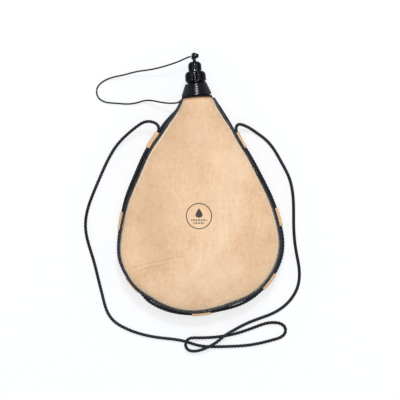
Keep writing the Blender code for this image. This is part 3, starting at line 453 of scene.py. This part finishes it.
# The cut edge is burnished and paler. Beside the piping it is painted as a light rim, partly painted light
# against the shade in the groove, and inside it a faint brown line is painted shade where the stitches pull
# the leather down
edge = add_node(tree, "ShaderNodeAttribute", attribute_name="from_piping").outputs["Fac"]
painted_shade_line = remap(tree, edge, 5.6, 3.9, high=0.12, interpolation_type="SMOOTHSTEP")
colour = paint(colour, painted_shade_line, "#bd8a5c")
pale_edge_painted_light = remap(tree, edge, 4.2, 2.8, high=0.9, interpolation_type="SMOOTHSTEP")
colour = paint(colour, pale_edge_painted_light, "#fdebcf")
# Ink stamp on the front: a ring 35 mm wide, and in it a drop over two rows of short dashes
STAMP = photo_points([(199, 216)])[0]
from_stamp = add_node(tree, "ShaderNodeVectorMath", {0: place, 1: STAMP}, operation="SUBTRACT")
from_stamp = add_node(tree, "ShaderNodeVectorMath", {0: from_stamp, 1: 3 * (1 / MM,)}, operation="MULTIPLY")
from_stamp = add_node(tree, "ShaderNodeSeparateXYZ", {0: from_stamp})
across, along, height = from_stamp.outputs
across_squared = calc(tree, "MULTIPLY", across, across)
spread = calc(tree, "MULTIPLY_ADD", along, along, across_squared)
spread = calc(tree, "POWER", spread, 0.5)
ring = calc(tree, "SUBTRACT", spread, 17.6)
ring = calc(tree, "ABSOLUTE", ring)
ring = remap(tree, ring, 0.85, 0.45)
# The drop is 15 mm tall and 10 mm wide: its half width squared follows a quartic of the height along it
rise = remap(tree, along, -2.2, 12.8, -1, 1, clamp=False)
tip = calc(tree, "SUBTRACT", 1, rise)
wide = calc(tree, "MULTIPLY", tip, tip)
wide = calc(tree, "MULTIPLY", wide, tip)
foot = calc(tree, "ADD", 1, rise)
wide = calc(tree, "MULTIPLY", wide, foot)
drop = calc(tree, "MULTIPLY", wide, 15)
drop = calc(tree, "SUBTRACT", drop, across_squared)
drop = remap(tree, drop, 0, 1.5, high=0.97)
ink = calc(tree, "MAXIMUM", ring, drop)
# A dash and a gap take 3.7 mm
dashes = calc(tree, "MULTIPLY", across, 2 * math.pi / 3.7)
dashes = calc(tree, "COSINE", dashes)
dashes = remap(tree, dashes, -0.45, -0.1)
for row, reach in ((-5.6, 11), (-9.8, 7.4)):
    level = calc(tree, "SUBTRACT", along, row)
    level = calc(tree, "ABSOLUTE", level)
    level = remap(tree, level, 1.2, 0.8)
    side = calc(tree, "ABSOLUTE", across)
    side = remap(tree, side, reach + 0.2, reach - 0.2)
    line = calc(tree, "MULTIPLY", dashes, level)
    line = calc(tree, "MULTIPLY", line, side)
    ink = calc(tree, "MAXIMUM", ink, line)
front = calc(tree, "GREATER_THAN", height, SEAM_HEIGHT / MM)
ink = calc(tree, "MULTIPLY", ink, front)
# The ink took unevenly on the grain
patchy = noise(tree, place, 900, 2)
patchy = remap(tree, patchy, 0.3, 0.5, low=0.85)
ink = calc(tree, "MULTIPLY", ink, patchy)
colour = paint(colour, ink, "#10141f")
# Above the neck's tie the leather is soaked in pitch wax; just below it a brown band is painted shade under
# the winding's edge
up_neck = add_node(tree, "ShaderNodeAttribute", attribute_name="up_neck").outputs["Fac"]
painted_contact_shade = remap(tree, up_neck, -2.4, 0.4, high=0.7, interpolation_type="SMOOTHSTEP")
colour = paint(colour, painted_contact_shade, "#b3713c")
waxed = remap(tree, up_neck, 0.9, 1.5)
colour = paint(colour, waxed, "#0b0c11")
shine = add_node(tree, "ShaderNodeMix", {"Factor": waxed, 2: shine, 3: 0.22}, data_type="FLOAT")
tree.links.new(colour, shader.inputs["Base Color"])
add_relief(tree, shader, relief, 0.35, 0.3 * MM)
tree.links.new(shine.outputs[0], shader.inputs["Roughness"])

# Marks on the front panel: strength, pale plus and dark minus, half width in mm, and pixels of the photo
MARKS = (
    (0.41, 0.9, ((200.2, 238.5), (200.6, 255), (197.3, 268), (188, 280))),
    (0.22, 0.6, ((195.5, 262), (193, 270), (186, 278))),
    (0.33, 0.9, ((220, 197), (219.6, 218), (219, 240))),
    (0.39, 0.8, ((225, 195), (226, 221), (227.5, 243), (232, 262))),
    (0.28, 0.8, ((229.5, 197), (232.5, 209), (235.6, 220))),
    (0.22, 0.8, ((243.5, 165), (242.3, 172), (241, 179))),
    (0.25, 1.5, ((170, 186), (176, 195), (183, 204))),
    (0.22, 0.8, ((237, 258), (238, 268), (242, 276))),
    # A crease at the lower left: two dark lines of painted shade and a pale line of painted light beside them
    (-0.39, 0.6, ((126.5, 270), (146, 263.6), (168, 258.6), (193, 254))),
    (-0.33, 0.6, ((134, 271.4), (150, 267.4), (172, 262.6))),
    (0.28, 0.7, ((128, 272.4), (146, 265.6), (170, 260.6))),
    (-0.22, 0.6, ((145, 213), (162, 222), (183, 233))),
    (-0.19, 0.6, ((133, 180), (138, 177), (144, 171.5))),
    (-0.19, 0.6, ((140, 169), (145, 163.5), (150, 155))),
    (0.19, 0.8, ((150, 176), (156, 160), (164, 146))),
    (-0.19, 0.6, ((238, 204), (248, 196), (254, 187))),
    (-0.17, 0.6, ((202, 243), (212, 240), (222, 240.5))),
)
# Broad patches: strength, column, row, and reach across and along in pixels
TONES = (
    (-0.36, 153, 216, 20, 46), (-0.15, 166, 258, 18, 22), (0.4, 236, 160, 16, 34), (0.25, 222, 215, 12, 50),
    # The two widest, darker over the top and paler over the bottom, are painted shade and painted light
    (-0.2, 250, 240, 14, 22), (0.2, 205, 268, 22, 14), (-0.15, 186, 150, 18, 26), (-0.16, 200, 128, 60, 42),
    (0.14, 200, 285, 60, 22),
)


def front_marks(corners):
    """For each corner: its nearest mark's distance in half widths, that mark's strength, and the tone."""
    flat = np.array([(c.x / MM / PIXEL + ORIGIN_COLUMN, ORIGIN_ROW - c.y / MM / PIXEL) for c in corners])
    nearest, strengths = np.full(len(flat), 99), np.zeros(len(flat))
    for strength, half_width, route in MARKS:
        line = smooth_line(route, 1)
        ahead = np.gradient(line, axis=0)
        ahead /= np.linalg.norm(ahead, axis=1)[:, None]
        near = np.argmin(np.linalg.norm(flat[:, None] - line[None], axis=2), axis=1)
        off = flat - line[near]
        distance = (off[:, 0] * ahead[near, 1] - off[:, 1] * ahead[near, 0]) * PIXEL / half_width
        # A mark stops 1.5 pixels past its end
        past = np.abs((off * ahead[near]).sum(1)) > 1.5
        distance = np.where(past, 99, distance)
        closer = np.abs(distance) < np.abs(nearest)
        share = near / (len(line) - 1)
        nearest = np.where(closer, distance, nearest)
        strengths = np.where(closer, strength * np.sin(math.pi * share) ** 0.6, strengths)
    tones = sum(strength * np.exp(-((flat[:, 0] - column) / wide) ** 2 - ((flat[:, 1] - row) / tall) ** 2)
                for strength, column, row, wide, tall in TONES)
    return nearest, strengths, tones


PLEATS = 26
PLEAT_REACH = 30 * MM
for node, side in (("front_panel", 1), ("back_panel", -1)):
    panel = smooth_copy(node, f"{node}_leather", 3)
    piping_tree = KDTree(len(seam_run))
    for i, run in enumerate(seam_run):
        piping_tree.insert(seam_point(run, PIPING_OUT, PIPING_UP * side), i)
    piping_tree.balance()
    # Pleats run down from the neck's tie and fade out on the shoulders
    for vertex in panel.data.vertices:
        from_foot = vertex.co - NECK_FOOT
        along = from_foot.dot(NECK_AXIS)
        if along > -PLEAT_REACH:
            across = from_foot - along * NECK_AXIS
            angle = math.atan2(across.z, across.x)
            fade = min((along + PLEAT_REACH) / PLEAT_REACH, 1) ** 2
            crease = 1 - abs(math.sin(PLEATS * angle / 2 + 0.8 * math.sin(3 * angle)))
            vertex.co -= across.normalized() * crease**2 * fade * 0.9 * MM
    corners = [vertex.co for vertex in panel.data.vertices]
    from_piping = [(piping_tree.find(c)[2] - PIPING_DIAMETER / 2) / MM for c in corners]
    up_neck = [(c - NECK_FOOT).dot(NECK_AXIS) / MM for c in corners]
    for name, values in (("from_piping", from_piping), ("up_neck", up_neck)):
        panel.data.attributes.new(name, "FLOAT", "POINT").data.foreach_set("value", values)
    if side > 0:
        nearest, strengths, tones = front_marks(corners)
        panel.data.attributes.new("tone", "FLOAT", "POINT").data.foreach_set("value", tones)
        marks = np.column_stack([np.clip(nearest, -9, 9), strengths, np.zeros(len(corners))])
        panel.data.attributes.new("mark", "FLOAT_VECTOR", "POINT").data.foreach_set("vector", marks.ravel())
    panel.data.materials.append(tan_leather)
    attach(panel, "bag")
    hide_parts(node)

# Latex bladder. A dipped natural-rubber liner inside the leather makes the bag hold wine. It is tied in with
# the mouthpiece, and is out of sight while the bag is closed.

latex, tree, shader = new_material("dipped natural latex", 0.38, subsurface_weight=0.15)
place = object_place(tree)
film = noise(tree, place, 90, 3)
two_tone(tree, shader, film, "#b89a63", "#d9c08c")
add_relief(tree, shader, film, 0.3, 0.3 * MM)
bladder = smooth_copy("latex_bladder", "latex_liner", 1)
bladder.data.materials.append(latex)
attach(bladder, "bag")
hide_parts("latex_bladder")

# Piping. A 3.6 mm cord under a waxed black cover edges the seam on both faces of the bag. The stitches that
# close the bag run through it.

# Waxed cotton cover over a cord: blue-black, with a low gloss that shows its round back as a light line.
piping_cloth = laid_fibre("waxed cotton cover, black", "#050609", "#3d4659", 0.3, 3, 8, 0.14 * MM)
for node, side in (("front_piping", 1), ("back_piping", -1)):
    piping_line = np.array([seam_point(run, PIPING_OUT, PIPING_UP * side)
                            for run in np.arange(0, SEAM_LENGTH, 1.1 * MM)])
    # Its ends run straight on to the tie
    ends = [place + (place - near) * np.arange(1, 5)[:, None]
            for place, near in (piping_line[:2], piping_line[:-3:-1])]
    piping_line = np.concatenate([ends[0][::-1], piping_line, ends[1]])
    piping = lay_cord(f"{node}_cord", piping_line, PIPING_DIAMETER, 3, 6.5 * MM, lobe=0.13, corners=5)
    piping.data.materials.append(piping_cloth)
    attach(piping, "bag")
    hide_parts(node)

# Strap cord, the stretch in the seam. The same laid cord lies in the groove between the two pipings, straight
# under each leather loop and bulging a little between them.

LOOP_SHARES = (0.0881, 0.247, 0.366, 0.503, 0.64, 0.759, 0.9154)
# How far the cord bulges out between each two loops, in mm, and where along that stretch it does so most
CORD_BULGES = (0.3, 0.4, 2.6, 2.3, 0.5, 0.3)
BULGE_SHARES = (0.5, 0.5, 0.24, 0.45, 0.5, 0.5)
LOOP_LENGTH = 23.5 * MM
STRAP_OUT = 4.7 * MM
loop_runs = [SEAM_LENGTH * share for share in LOOP_SHARES]


def strap_place(run):
    """A place on the cord in the groove, at a length along the seam."""
    out = STRAP_OUT
    for bulge, crest, low, high in zip(CORD_BULGES, BULGE_SHARES, loop_runs[:-1], loop_runs[1:]):
        low, high = low + LOOP_LENGTH / 2, high - LOOP_LENGTH / 2
        if low < run < high:
            share = (run - low) / (high - low)
            rise = min(share / crest, (1 - share) / (1 - crest))
            out += bulge * MM * math.sin(math.pi / 2 * rise) ** 2
    return seam_point(run, out, 0)


strap_runs = np.linspace(loop_runs[0] - LOOP_LENGTH / 2, loop_runs[-1] + LOOP_LENGTH / 2, 800)
seam_line = np.array([strap_place(run) for run in strap_runs])
strap_seam = lay_cord("strap_cord_in_seam", seam_line, STRAP_DIAMETER, 3, STRAP_LAY, lobe=0.36, corners=7)
strap_seam.data.materials.append(strap_fibre)
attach(strap_seam, "bag")
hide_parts("strap_cord_seam")

# Cord loops. Seven strips of the same leather, 0.7 mm thick, are folded round the strap cord, and their ends
# are sewn in between the panels.

loop_leather = goat_leather("goat leather strip", "#edc69c", "#e2b88c", "#cfa072")[0]
for number in range(1, 8):
    loop = smooth_copy(f"cord_loop_{number}", f"loop_leather_{number}", 2)
    loop.data.materials.append(loop_leather)
    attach(loop, "bag")
    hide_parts(f"cord_loop_{number}")

# Piping tape. Between the loops the piping's black cloth runs on as a tape over the leather's edge, from one
# piping to the other, and is caught in the same stitches.

loop_ends = [run + side * LOOP_LENGTH / 2 for run in loop_runs for side in (-1, 1)]
tape_ends = [1 * MM, *loop_ends, SEAM_LENGTH - 1 * MM]
for number, (low, high) in enumerate(zip(tape_ends[::2], tape_ends[1::2]), 1):
    bpy.ops.object.select_all(action="DESELECT")
    bpy.ops.mesh.primitive_grid_add(x_subdivisions=round((high - low) / (2 * MM)), y_subdivisions=6, size=2)
    tape = bpy.context.object
    tape.name = tape.data.name = f"piping_tape_{number}"
    for vertex in tape.data.vertices:
        share, up = (vertex.co.x + 1) / 2, vertex.co.y
        vertex.co = seam_point(low + share * (high - low), (1.4 + 0.5 * up**2) * MM, up * 4.2 * MM)
    cloth = tape.modifiers.new("Cloth", "SOLIDIFY")
    cloth.thickness = 0.5 * MM
    cloth.offset = 0
    bpy.ops.object.modifier_apply(modifier=cloth.name)
    bpy.ops.object.mode_set(mode="EDIT")
    bpy.ops.mesh.select_all(action="SELECT")
    bpy.ops.mesh.normals_make_consistent(inside=False)
    bpy.ops.object.mode_set(mode="OBJECT")
    bpy.ops.object.shade_smooth_by_angle(angle=math.radians(40))
    tape.data.materials.append(piping_cloth)
    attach(tape, "bag")

# Seam stitches. Black waxed linen thread, 0.6 mm thick, goes through the leather's edge and over the piping's
# inner side, one stitch every 2.8 mm on each face.

STITCH_PITCH = 2.8 * MM
# Twisted linen: the ply shows as a fine change of tone
linen, tree, shader = new_material("waxed linen thread", 0.6)
place = object_place(tree)
ply = noise(tree, place, 2500, 1)
two_tone(tree, shader, ply, "#0d0b0a", "#2b2622")
# One stitch, drawn as lengths along the seam, outwards and up, and laid at each place along it
stitch_arc = smooth_line([(x * MM, y * MM, z * MM) for x, y, z in (
    (-0.4, -0.9, 4.3), (-0.2, -0.5, 5.2), (0, 0.1, 5.9), (0.2, 0.6, 6.2), (0.35, 1, 6.4))], 0.4 * MM)
stitch = lay_cord("stitch", stitch_arc, 0.6 * MM, 1, 0, lobe=0, corners=6)
stitch_corners = [vertex.co.copy() for vertex in stitch.data.vertices]
stitch_faces = [tuple(face.vertices) for face in stitch.data.polygons]
bpy.data.objects.remove(stitch)
for name, side in (("front_stitches", 1), ("back_stitches", -1)):
    corners, faces = [], []
    for run in np.arange(6 * MM, SEAM_LENGTH - 6 * MM, STITCH_PITCH):
        start = len(corners)
        corners += [tuple(seam_point(run + c.x * side, c.y, c.z * side)) for c in stitch_corners]
        faces += [tuple(start + i for i in face) for face in stitch_faces]
    mesh = bpy.data.meshes.new(name)
    mesh.from_pydata(corners, [], faces)
    mesh.shade_smooth()
    row = bpy.data.objects.new(name, mesh)
    bpy.context.scene.collection.objects.link(row)
    row.data.materials.append(linen)
    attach(row, "bag")

# Mouthpiece. A black phenolic moulding is tied into the neck: a flared stem inside the leather, a collar on
# top of it, and a threaded throat that the filler cap screws on.


def draw_rings(name, rings, corners, look, hollow=False, sharp=30):
    """A turned piece, drawn out of a circle ring by ring. Each ring is its radius and its height on the
    nozzle's axis, in mm. A hollow piece's last ring closes on its first."""
    bpy.ops.object.select_all(action="DESELECT")
    bpy.ops.mesh.primitive_circle_add(vertices=corners, radius=rings[0][0] * MM,
                                      fill_type="NOTHING" if hollow else "TRIFAN")
    piece = bpy.context.object
    piece.name = piece.data.name = name
    bpy.ops.object.mode_set(mode="EDIT")
    bpy.ops.mesh.select_all(action="SELECT")
    bpy.ops.transform.translate(value=(0, 0, rings[0][1] * MM))
    extrude = bpy.ops.mesh.extrude_edges_move if hollow else bpy.ops.mesh.extrude_region_move
    for before, ring in zip(rings, rings[1:]):
        extrude(TRANSFORM_OT_translate={"value": (0, 0, (ring[1] - before[1]) * MM)})
        share = ring[0] / before[0]
        bpy.ops.transform.resize(value=(share, share, 1), center_override=(0, 0, ring[1] * MM))
    bpy.ops.mesh.select_all(action="SELECT")
    bpy.ops.mesh.remove_doubles(threshold=2e-6)
    bpy.ops.mesh.normals_make_consistent(inside=False)
    bpy.ops.object.mode_set(mode="OBJECT")
    bpy.ops.object.shade_smooth_by_angle(angle=math.radians(sharp))
    piece.data.materials.append(look)
    return piece


def set_on_nozzle(piece, body, slot, *replaced):
    """Turns a finished piece onto the nozzle's axis and fixes it to its body."""
    piece.location = NECK_FOOT
    piece.rotation_euler = (-math.pi / 2, 0, NECK_LEAN)
    pick(piece)
    bpy.ops.object.transform_apply(location=True, rotation=True, scale=True)
    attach(piece, body)
    if replaced:
        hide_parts(*replaced)


def rounded(centre_radius, centre_height, out, up, start, end, count):
    """Rings along a rounded edge, with angles in degrees from outwards to up."""
    return [(centre_radius + out * math.cos(math.radians(a)), centre_height + up * math.sin(math.radians(a)))
            for a in np.linspace(start, end, count)]


# Black phenolic resin, moulded and polished: deep black with a clear gloss, and light scuffs from the hand.
phenolic, tree, shader = new_material("polished black phenolic moulding", 0.12, ior=1.5)
place = object_place(tree)
scuff = noise(tree, place, 500, 4, 0.65)
two_tone(tree, shader, scuff, "#040507", "#0e1015")
gloss = remap(tree, scuff, 0.35, 0.75, 0.08, 0.15)
tree.links.new(gloss.outputs[0], shader.inputs["Roughness"])
add_relief(tree, shader, scuff, 0.05, 0.05 * MM)

mouth = draw_rings("mouthpiece_moulding", (
    (7, 34), *rounded(7.4, 33.9, 0.4, 0.4, 180, 90, 4), *rounded(9.9, 33.8, 0.5, 0.5, 90, 0, 4), (10.2, 33),
    (10.2, 24.5), (10.4, 24), *rounded(12.8, 23.5, 0.5, 0.5, 90, 0, 4), (13.3, 22.6), (12.9, 22.2),
    (8.1, 22.2), (17, 0), (17, -7.5), *rounded(16.5, -7.5, 0.5, 0.5, 0, -90, 3), (14.8, -8), (14.6, -7.8),
    (14.6, 0), (7, 18.62), (7, 34)), 72, phenolic, hollow=True)
set_on_nozzle(mouth, "bag", "black_plastic", "mouthpiece")

# The thread is a low round ridge, 4 mm a turn, which the filler cap's own thread runs on.
THREAD_PITCH = 4
turns = np.arange(0, 2.0001, 1 / 48)
thread_line = np.array([(10.15 * MM * math.cos(2 * math.pi * t), 10.15 * MM * math.sin(2 * math.pi * t),
                         (25.3 + THREAD_PITCH * t) * MM) for t in turns])
thread = lay_cord("mouthpiece_thread", thread_line, 0.8 * MM, 1, 0, lobe=0, corners=8, twist="Z_UP")
thread.data.materials.append(phenolic)
set_on_nozzle(thread, "bag", "black_plastic")

# Neck winding. Nearly five turns of a thick cord, drawn tight over the leather and dipped in pitch wax, tie
# the leather and the liner on the mouthpiece. The wax fills the cord's lay and leaves glossy ridges.

WINDING_TURNS = 4.75
WINDING_PITCH = 3.2
# The neck's radius at its foot in mm, and the share of the height by which it falls
NECK_RADIUS, NECK_TAPER = 20, 0.40826
turn_line = []
for turn in np.linspace(0, WINDING_TURNS, round(60 * WINDING_TURNS)):
    height = 5.2 + WINDING_PITCH * turn
    radius = NECK_RADIUS - NECK_TAPER * height + 1.8 * math.hypot(1, NECK_TAPER)
    angle = math.pi + 2 * math.pi * turn
    turn_line.append((radius * math.cos(angle) * MM, radius * math.sin(angle) * MM, height * MM))
winding = lay_cord("neck_winding_waxed", np.array(turn_line), 2.8 * MM, 1, 0, lobe=0, stretch=(0.96, 1.7),
                   corners=20, twist="Z_UP")
pitch_wax, tree, shader = new_material("cord under pitch wax", 0.2, specular_ior_level=1)
uv = add_node(tree, "ShaderNodeUVMap")
# The lay shows faintly through the wax, one strand in 2 mm
strand = calc(tree, "SINE", phase(tree, uv, 12.57, 37.7))
place = object_place(tree)
lumps = noise(tree, place, 250, 3)
relief = calc(tree, "MULTIPLY_ADD", strand, 0.05, lumps)
two_tone(tree, shader, lumps, "#040507", "#101218")
add_relief(tree, shader, relief, 0.08, 0.1 * MM)
winding.data.materials.append(pitch_wax)
set_on_nozzle(winding, "bag", "waxed_cord", "neck_winding")

# Tether's neck loop. One turn of the tether is tied round the leather under the winding, with a small knot at
# the left and the cut end at the right.

loop_line = np.array([(20.53 * math.cos(t) * MM, 20.53 * math.sin(t) * MM, 2.4 * MM)
                      for t in np.linspace(0, 2 * math.pi, 121)])
neck_loop = lay_cord("tether_neck_loop_laid", loop_line, TETHER_TIGHT, 3, run_lengths(loop_line)[-1] / 25,
                     corners=5)
neck_loop.data.materials.append(tether_fibre)
set_on_nozzle(neck_loop, "bag", "tether_cord", "tether_neck_loop")

# The knot: the tether's end takes three close turns round itself
knot_foot = Vector((-21.6, 122, 25.4)) * MM
knot_run = Vector((-6.2, -6.4, 0)) * MM
knot_side = knot_run.cross(Vector((0, 0, 1))).normalized()
knot_line = []
for turn in np.linspace(0, 3, 61):
    across = math.cos(2 * math.pi * turn) * knot_side + math.sin(2 * math.pi * turn) * Vector((0, 0, 1))
    knot_line.append(knot_foot + knot_run * turn / 3 + across * 1.2 * MM)
# The cut end: what is left of the same cord at the other side
stub_line = smooth_line([(x * MM, y * MM, z * MM) for x, y, z in (
    (15.4, 124.2, 26.6), (17.1, 122, 26.9), (18.6, 119.6, 26.6))], 0.6 * MM)
for name, line, diameter in (("tether_knot", knot_line, 2.2 * MM), ("tether_cut_end", stub_line, 1.7 * MM)):
    tie = lay_cord(name, np.array(line), diameter, 3, TETHER_LAY, corners=5)
    tie.data.materials.append(tether_fibre)
    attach(tie, "bag")

# Filler gasket. A flat ring of pale rubber under the filler cap's roof seals it on the mouthpiece.

rubber, tree, shader = new_material("moulded seal rubber", 0.6)
place = object_place(tree)
dust = noise(tree, place, 900, 3)
two_tone(tree, shader, dust, "#b3aea5", "#c9c5bc")
gasket = draw_rings("filler_gasket_ring", (
    (7.5, 34.8), (7.5, 35.6), (7.6, 35.7), (9.9, 35.7), (10, 35.6), (10, 34.8), (9.9, 34.7), (7.6, 34.7),
    (7.5, 34.8)), 48, rubber, hollow=True)
set_on_nozzle(gasket, "filler_carrier", "seal_rubber", "filler_gasket")

# Filler cap. The wide lower cap, moulded with ten hollow flutes for the fingers and a domed shoulder. It is
# unscrewed to fill the bag, and carries the drinking spout.

FLUTES = 10


def press_flutes(cap, bore, depth, low, high, turned=0):
    """Presses hollow flutes into a cap's wall outside its bore, which fade out at the top of its shoulder.
    Sizes are in mm, and the turn of the first flute in degrees."""
    for vertex in cap.data.vertices:
        spread = math.hypot(vertex.co.x, vertex.co.y) / MM
        height = vertex.co.z / MM
        if spread < bore or not low <= height <= high:
            continue
        angle = math.atan2(vertex.co.y, vertex.co.x)
        groove = abs(math.sin(FLUTES * (angle - math.radians(turned)) / 2)) * depth
        share = min(max(((height - low) / (high - low) - 0.7) / 0.3, 0), 1)
        fade = 1 - share * share * (3 - 2 * share)
        vertex.co.x *= 1 - groove * fade / spread
        vertex.co.y *= 1 - groove * fade / spread


filler = draw_rings("filler_cap_moulding", (
    (6.1, 38), *rounded(9.8, 31, 4.7, 7, 90, 0, 12), (14.5, 29), (14.5, 27), (14.5, 25.2),
    *rounded(14.1, 24.8, 0.4, 0.4, 0, -90, 4), (10.9, 24.4), (10.8, 24.5), (10.8, 36.1), (6.1, 36.1),
    (6.1, 38)), 16 * FLUTES, phenolic, hollow=True, sharp=40)
press_flutes(filler, 10.9, 1.8, 24.9, 38, turned=-2)
set_on_nozzle(filler, "filler", "black_plastic", "filler_cap")

# Spout. The drinking jet is pressed into the filler cap from inside, up to its flange. Its fine bore draws
# the wine out in a thread.

spout = draw_rings("spout_moulding", (
    (0.9, 47.9), (1.1, 48.2), *rounded(1.7, 47.9, 0.3, 0.3, 90, 20, 4), (5.5, 45.2), (5.7, 44.9), (5.7, 35.7),
    (6.9, 35.7), (7, 35.6), (7, 34.8), (6.9, 34.7), (3.1, 34.7), (3, 34.8), (3, 39.7), (0.9, 42.7),
    (0.9, 47.9)), 64, phenolic, hollow=True)
set_on_nozzle(spout, "filler", "black_plastic", "spout")

# Stopper seal. A small rubber disc in the stopper's roof closes the jet.

seal = draw_rings("stopper_seal_disc", (
    (2.7, 48.6), (2.9, 48.7), (2.9, 49.3), (2.7, 49.4)), 40, rubber)
set_on_nozzle(seal, "stopper_carrier", "seal_rubber", "stopper_seal")

# Stopper cap. The small upper cap, with ten flutes, a stalk and a ball knob that holds the tether. It is
# unscrewed to drink.

stopper = draw_rings("stopper_cap_moulding", (
    (3.3, 49.8), (3.3, 48.2), (6.1, 45.4), (6.1, 38.4), *rounded(8.75, 38.8, 0.4, 0.4, -90, 0, 4),
    (9.15, 40.5), (9.15, 43), *rounded(3.65, 45.7, 5.5, 6, 0, 82, 12), (2.7, 51.8), (2.4, 52.1),
    (2.4, 54.4), (2.2, 54.7), (1.7, 54.8), (1.7, 61.1), (1.9, 61.2), (3.2, 61.3),
    *rounded(0, 61.6, 3.5, 2.7, 0, 84, 9)), 16 * FLUTES, phenolic, sharp=40)
press_flutes(stopper, 6.2, 1.15, 38.9, 51.7)
set_on_nozzle(stopper, "stopper", "black_plastic", "stopper_cap")

# Tether's knob loop. Just over two turns of the tether sit in the stalk's groove under the ball, and a small
# bight of it stands out at the right, with the cord's end tucked under it.

knob_line = []
for turn in np.linspace(0, 2.25, 109):
    angle = math.pi + 2 * math.pi * turn
    knob_line.append((3.1 * math.cos(angle) * MM, 3.1 * math.sin(angle) * MM, (55.7 + 2.05 * turn) * MM))
knob_loop = lay_cord("tether_knob_loop_laid", np.array(knob_line), TETHER_TIGHT, 3, TETHER_LAY, corners=5)
knob_loop.data.materials.append(tether_fibre)
set_on_nozzle(knob_loop, "stopper_carrier", "tether_cord", "tether_knob_loop")
bight_line = smooth_line([(x * MM, y * MM, z * MM) for x, y, z in (
    (-5.4, 178.9, 26.4), (-4.1, 178.2, 27), (-3.1, 178.9, 27.2), (-2.7, 180.3, 27.2), (-3, 181.7, 27),
    (-3.9, 182.5, 26.8), (-5, 182.2, 26.6), (-5.2, 181, 26), (-4.6, 180.1, 25.5), (-4, 180.4, 25.3),
    (-4.3, 181.2, 25))], 0.5 * MM)
bight = lay_cord("tether_bight", bight_line, TETHER_TIGHT, 3, TETHER_LAY, corners=5)
bight.data.materials.append(tether_fibre)
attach(bight, "stopper_carrier")

# Table, light and world. A plain table stands under a long narrow lamp, a small lamp beyond the nozzle that
# casts the shadows, and a wide soft one on the near side. The camera sees the table and the studio white.

bpy.ops.object.select_all(action="DESELECT")
bpy.ops.mesh.primitive_plane_add(size=8, location=(0, 0, -0.0002))
table = bpy.context.object
table.name = "table"
white, tree, shader = new_material("white laminate table", 0.9)
shader.inputs["Specular IOR Level"].default_value = 0
rays = add_node(tree, "ShaderNodeLightPath")
# White to the camera, with the object's shadow on it. Glossy pieces mirror it dimmer, as in the photo
laminate = add_node(tree, "ShaderNodeMix", {"Factor": rays.outputs["Is Glossy Ray"], 6: (0.95, 0.97, 1, 1),
                                            7: (0.25, 0.28, 0.32, 1)}, data_type="RGBA")
tree.links.new(laminate.outputs[2], shader.inputs["Base Color"])
glow = add_node(tree, "ShaderNodeEmission", {"Strength": 1.0})
seen = calc(tree, "MULTIPLY", rays.outputs["Is Camera Ray"], 0.66)
mixed = add_node(tree, "ShaderNodeMixShader", {0: seen, 1: shader.outputs[0], 2: glow.outputs[0]})
tree.links.new(mixed.outputs[0], tree.nodes["Material Output"].inputs["Surface"])
table.data.materials.append(white)

for name, place, wide, tall, watts in (
    ("strip_lamp", (0.05, 2.3, 5.5), 0.5, 5, 132), ("key_lamp", (0.6, 3, 5.2), 0.45, 0.45, 76),
    ("fill_lamp", (0, -1.8, 6), 3, 3, 82)):
    bpy.ops.object.light_add(type="AREA", location=place)
    lamp = bpy.context.object
    lamp.name = name
    lamp.data.shape = "RECTANGLE"
    lamp.data.size = wide
    lamp.data.size_y = tall
    lamp.data.energy = watts
    lamp.rotation_euler = (Vector((0, 0, 0)) - Vector(place)).to_track_quat("-Z", "Y").to_euler()

world = bpy.data.worlds.new("studio")
bpy.context.scene.world = world
world.use_nodes = True
tree = world.node_tree
sky = tree.nodes["Background"]
sky.inputs["Color"].default_value = (0.9, 0.95, 1, 1)
# The studio's ceiling is dim overhead and a little brighter low down at its walls
direction = add_node(tree, "ShaderNodeTexCoord").outputs["Generated"]
height = add_node(tree, "ShaderNodeSeparateXYZ", {0: direction}).outputs[2]
strength = remap(tree, height, 0, 1, 0.92, 0.15)
rays = add_node(tree, "ShaderNodeLightPath")
# Glossy pieces mirror dimmer walls too
dimmed = calc(tree, "MULTIPLY_ADD", rays.outputs["Is Glossy Ray"], -0.75, 1)
strength = calc(tree, "MULTIPLY", strength, dimmed)
tree.links.new(strength.outputs[0], sky.inputs["Strength"])
backdrop = add_node(tree, "ShaderNodeBackground", {"Strength": 1.0})
mixed = add_node(tree, "ShaderNodeMixShader", {0: rays.outputs["Is Camera Ray"], 1: sky.outputs[0],
                                               2: backdrop.outputs[0]})
tree.links.new(mixed.outputs[0], tree.nodes["World Output"].inputs["Surface"])

bpy.context.view_layer.update()
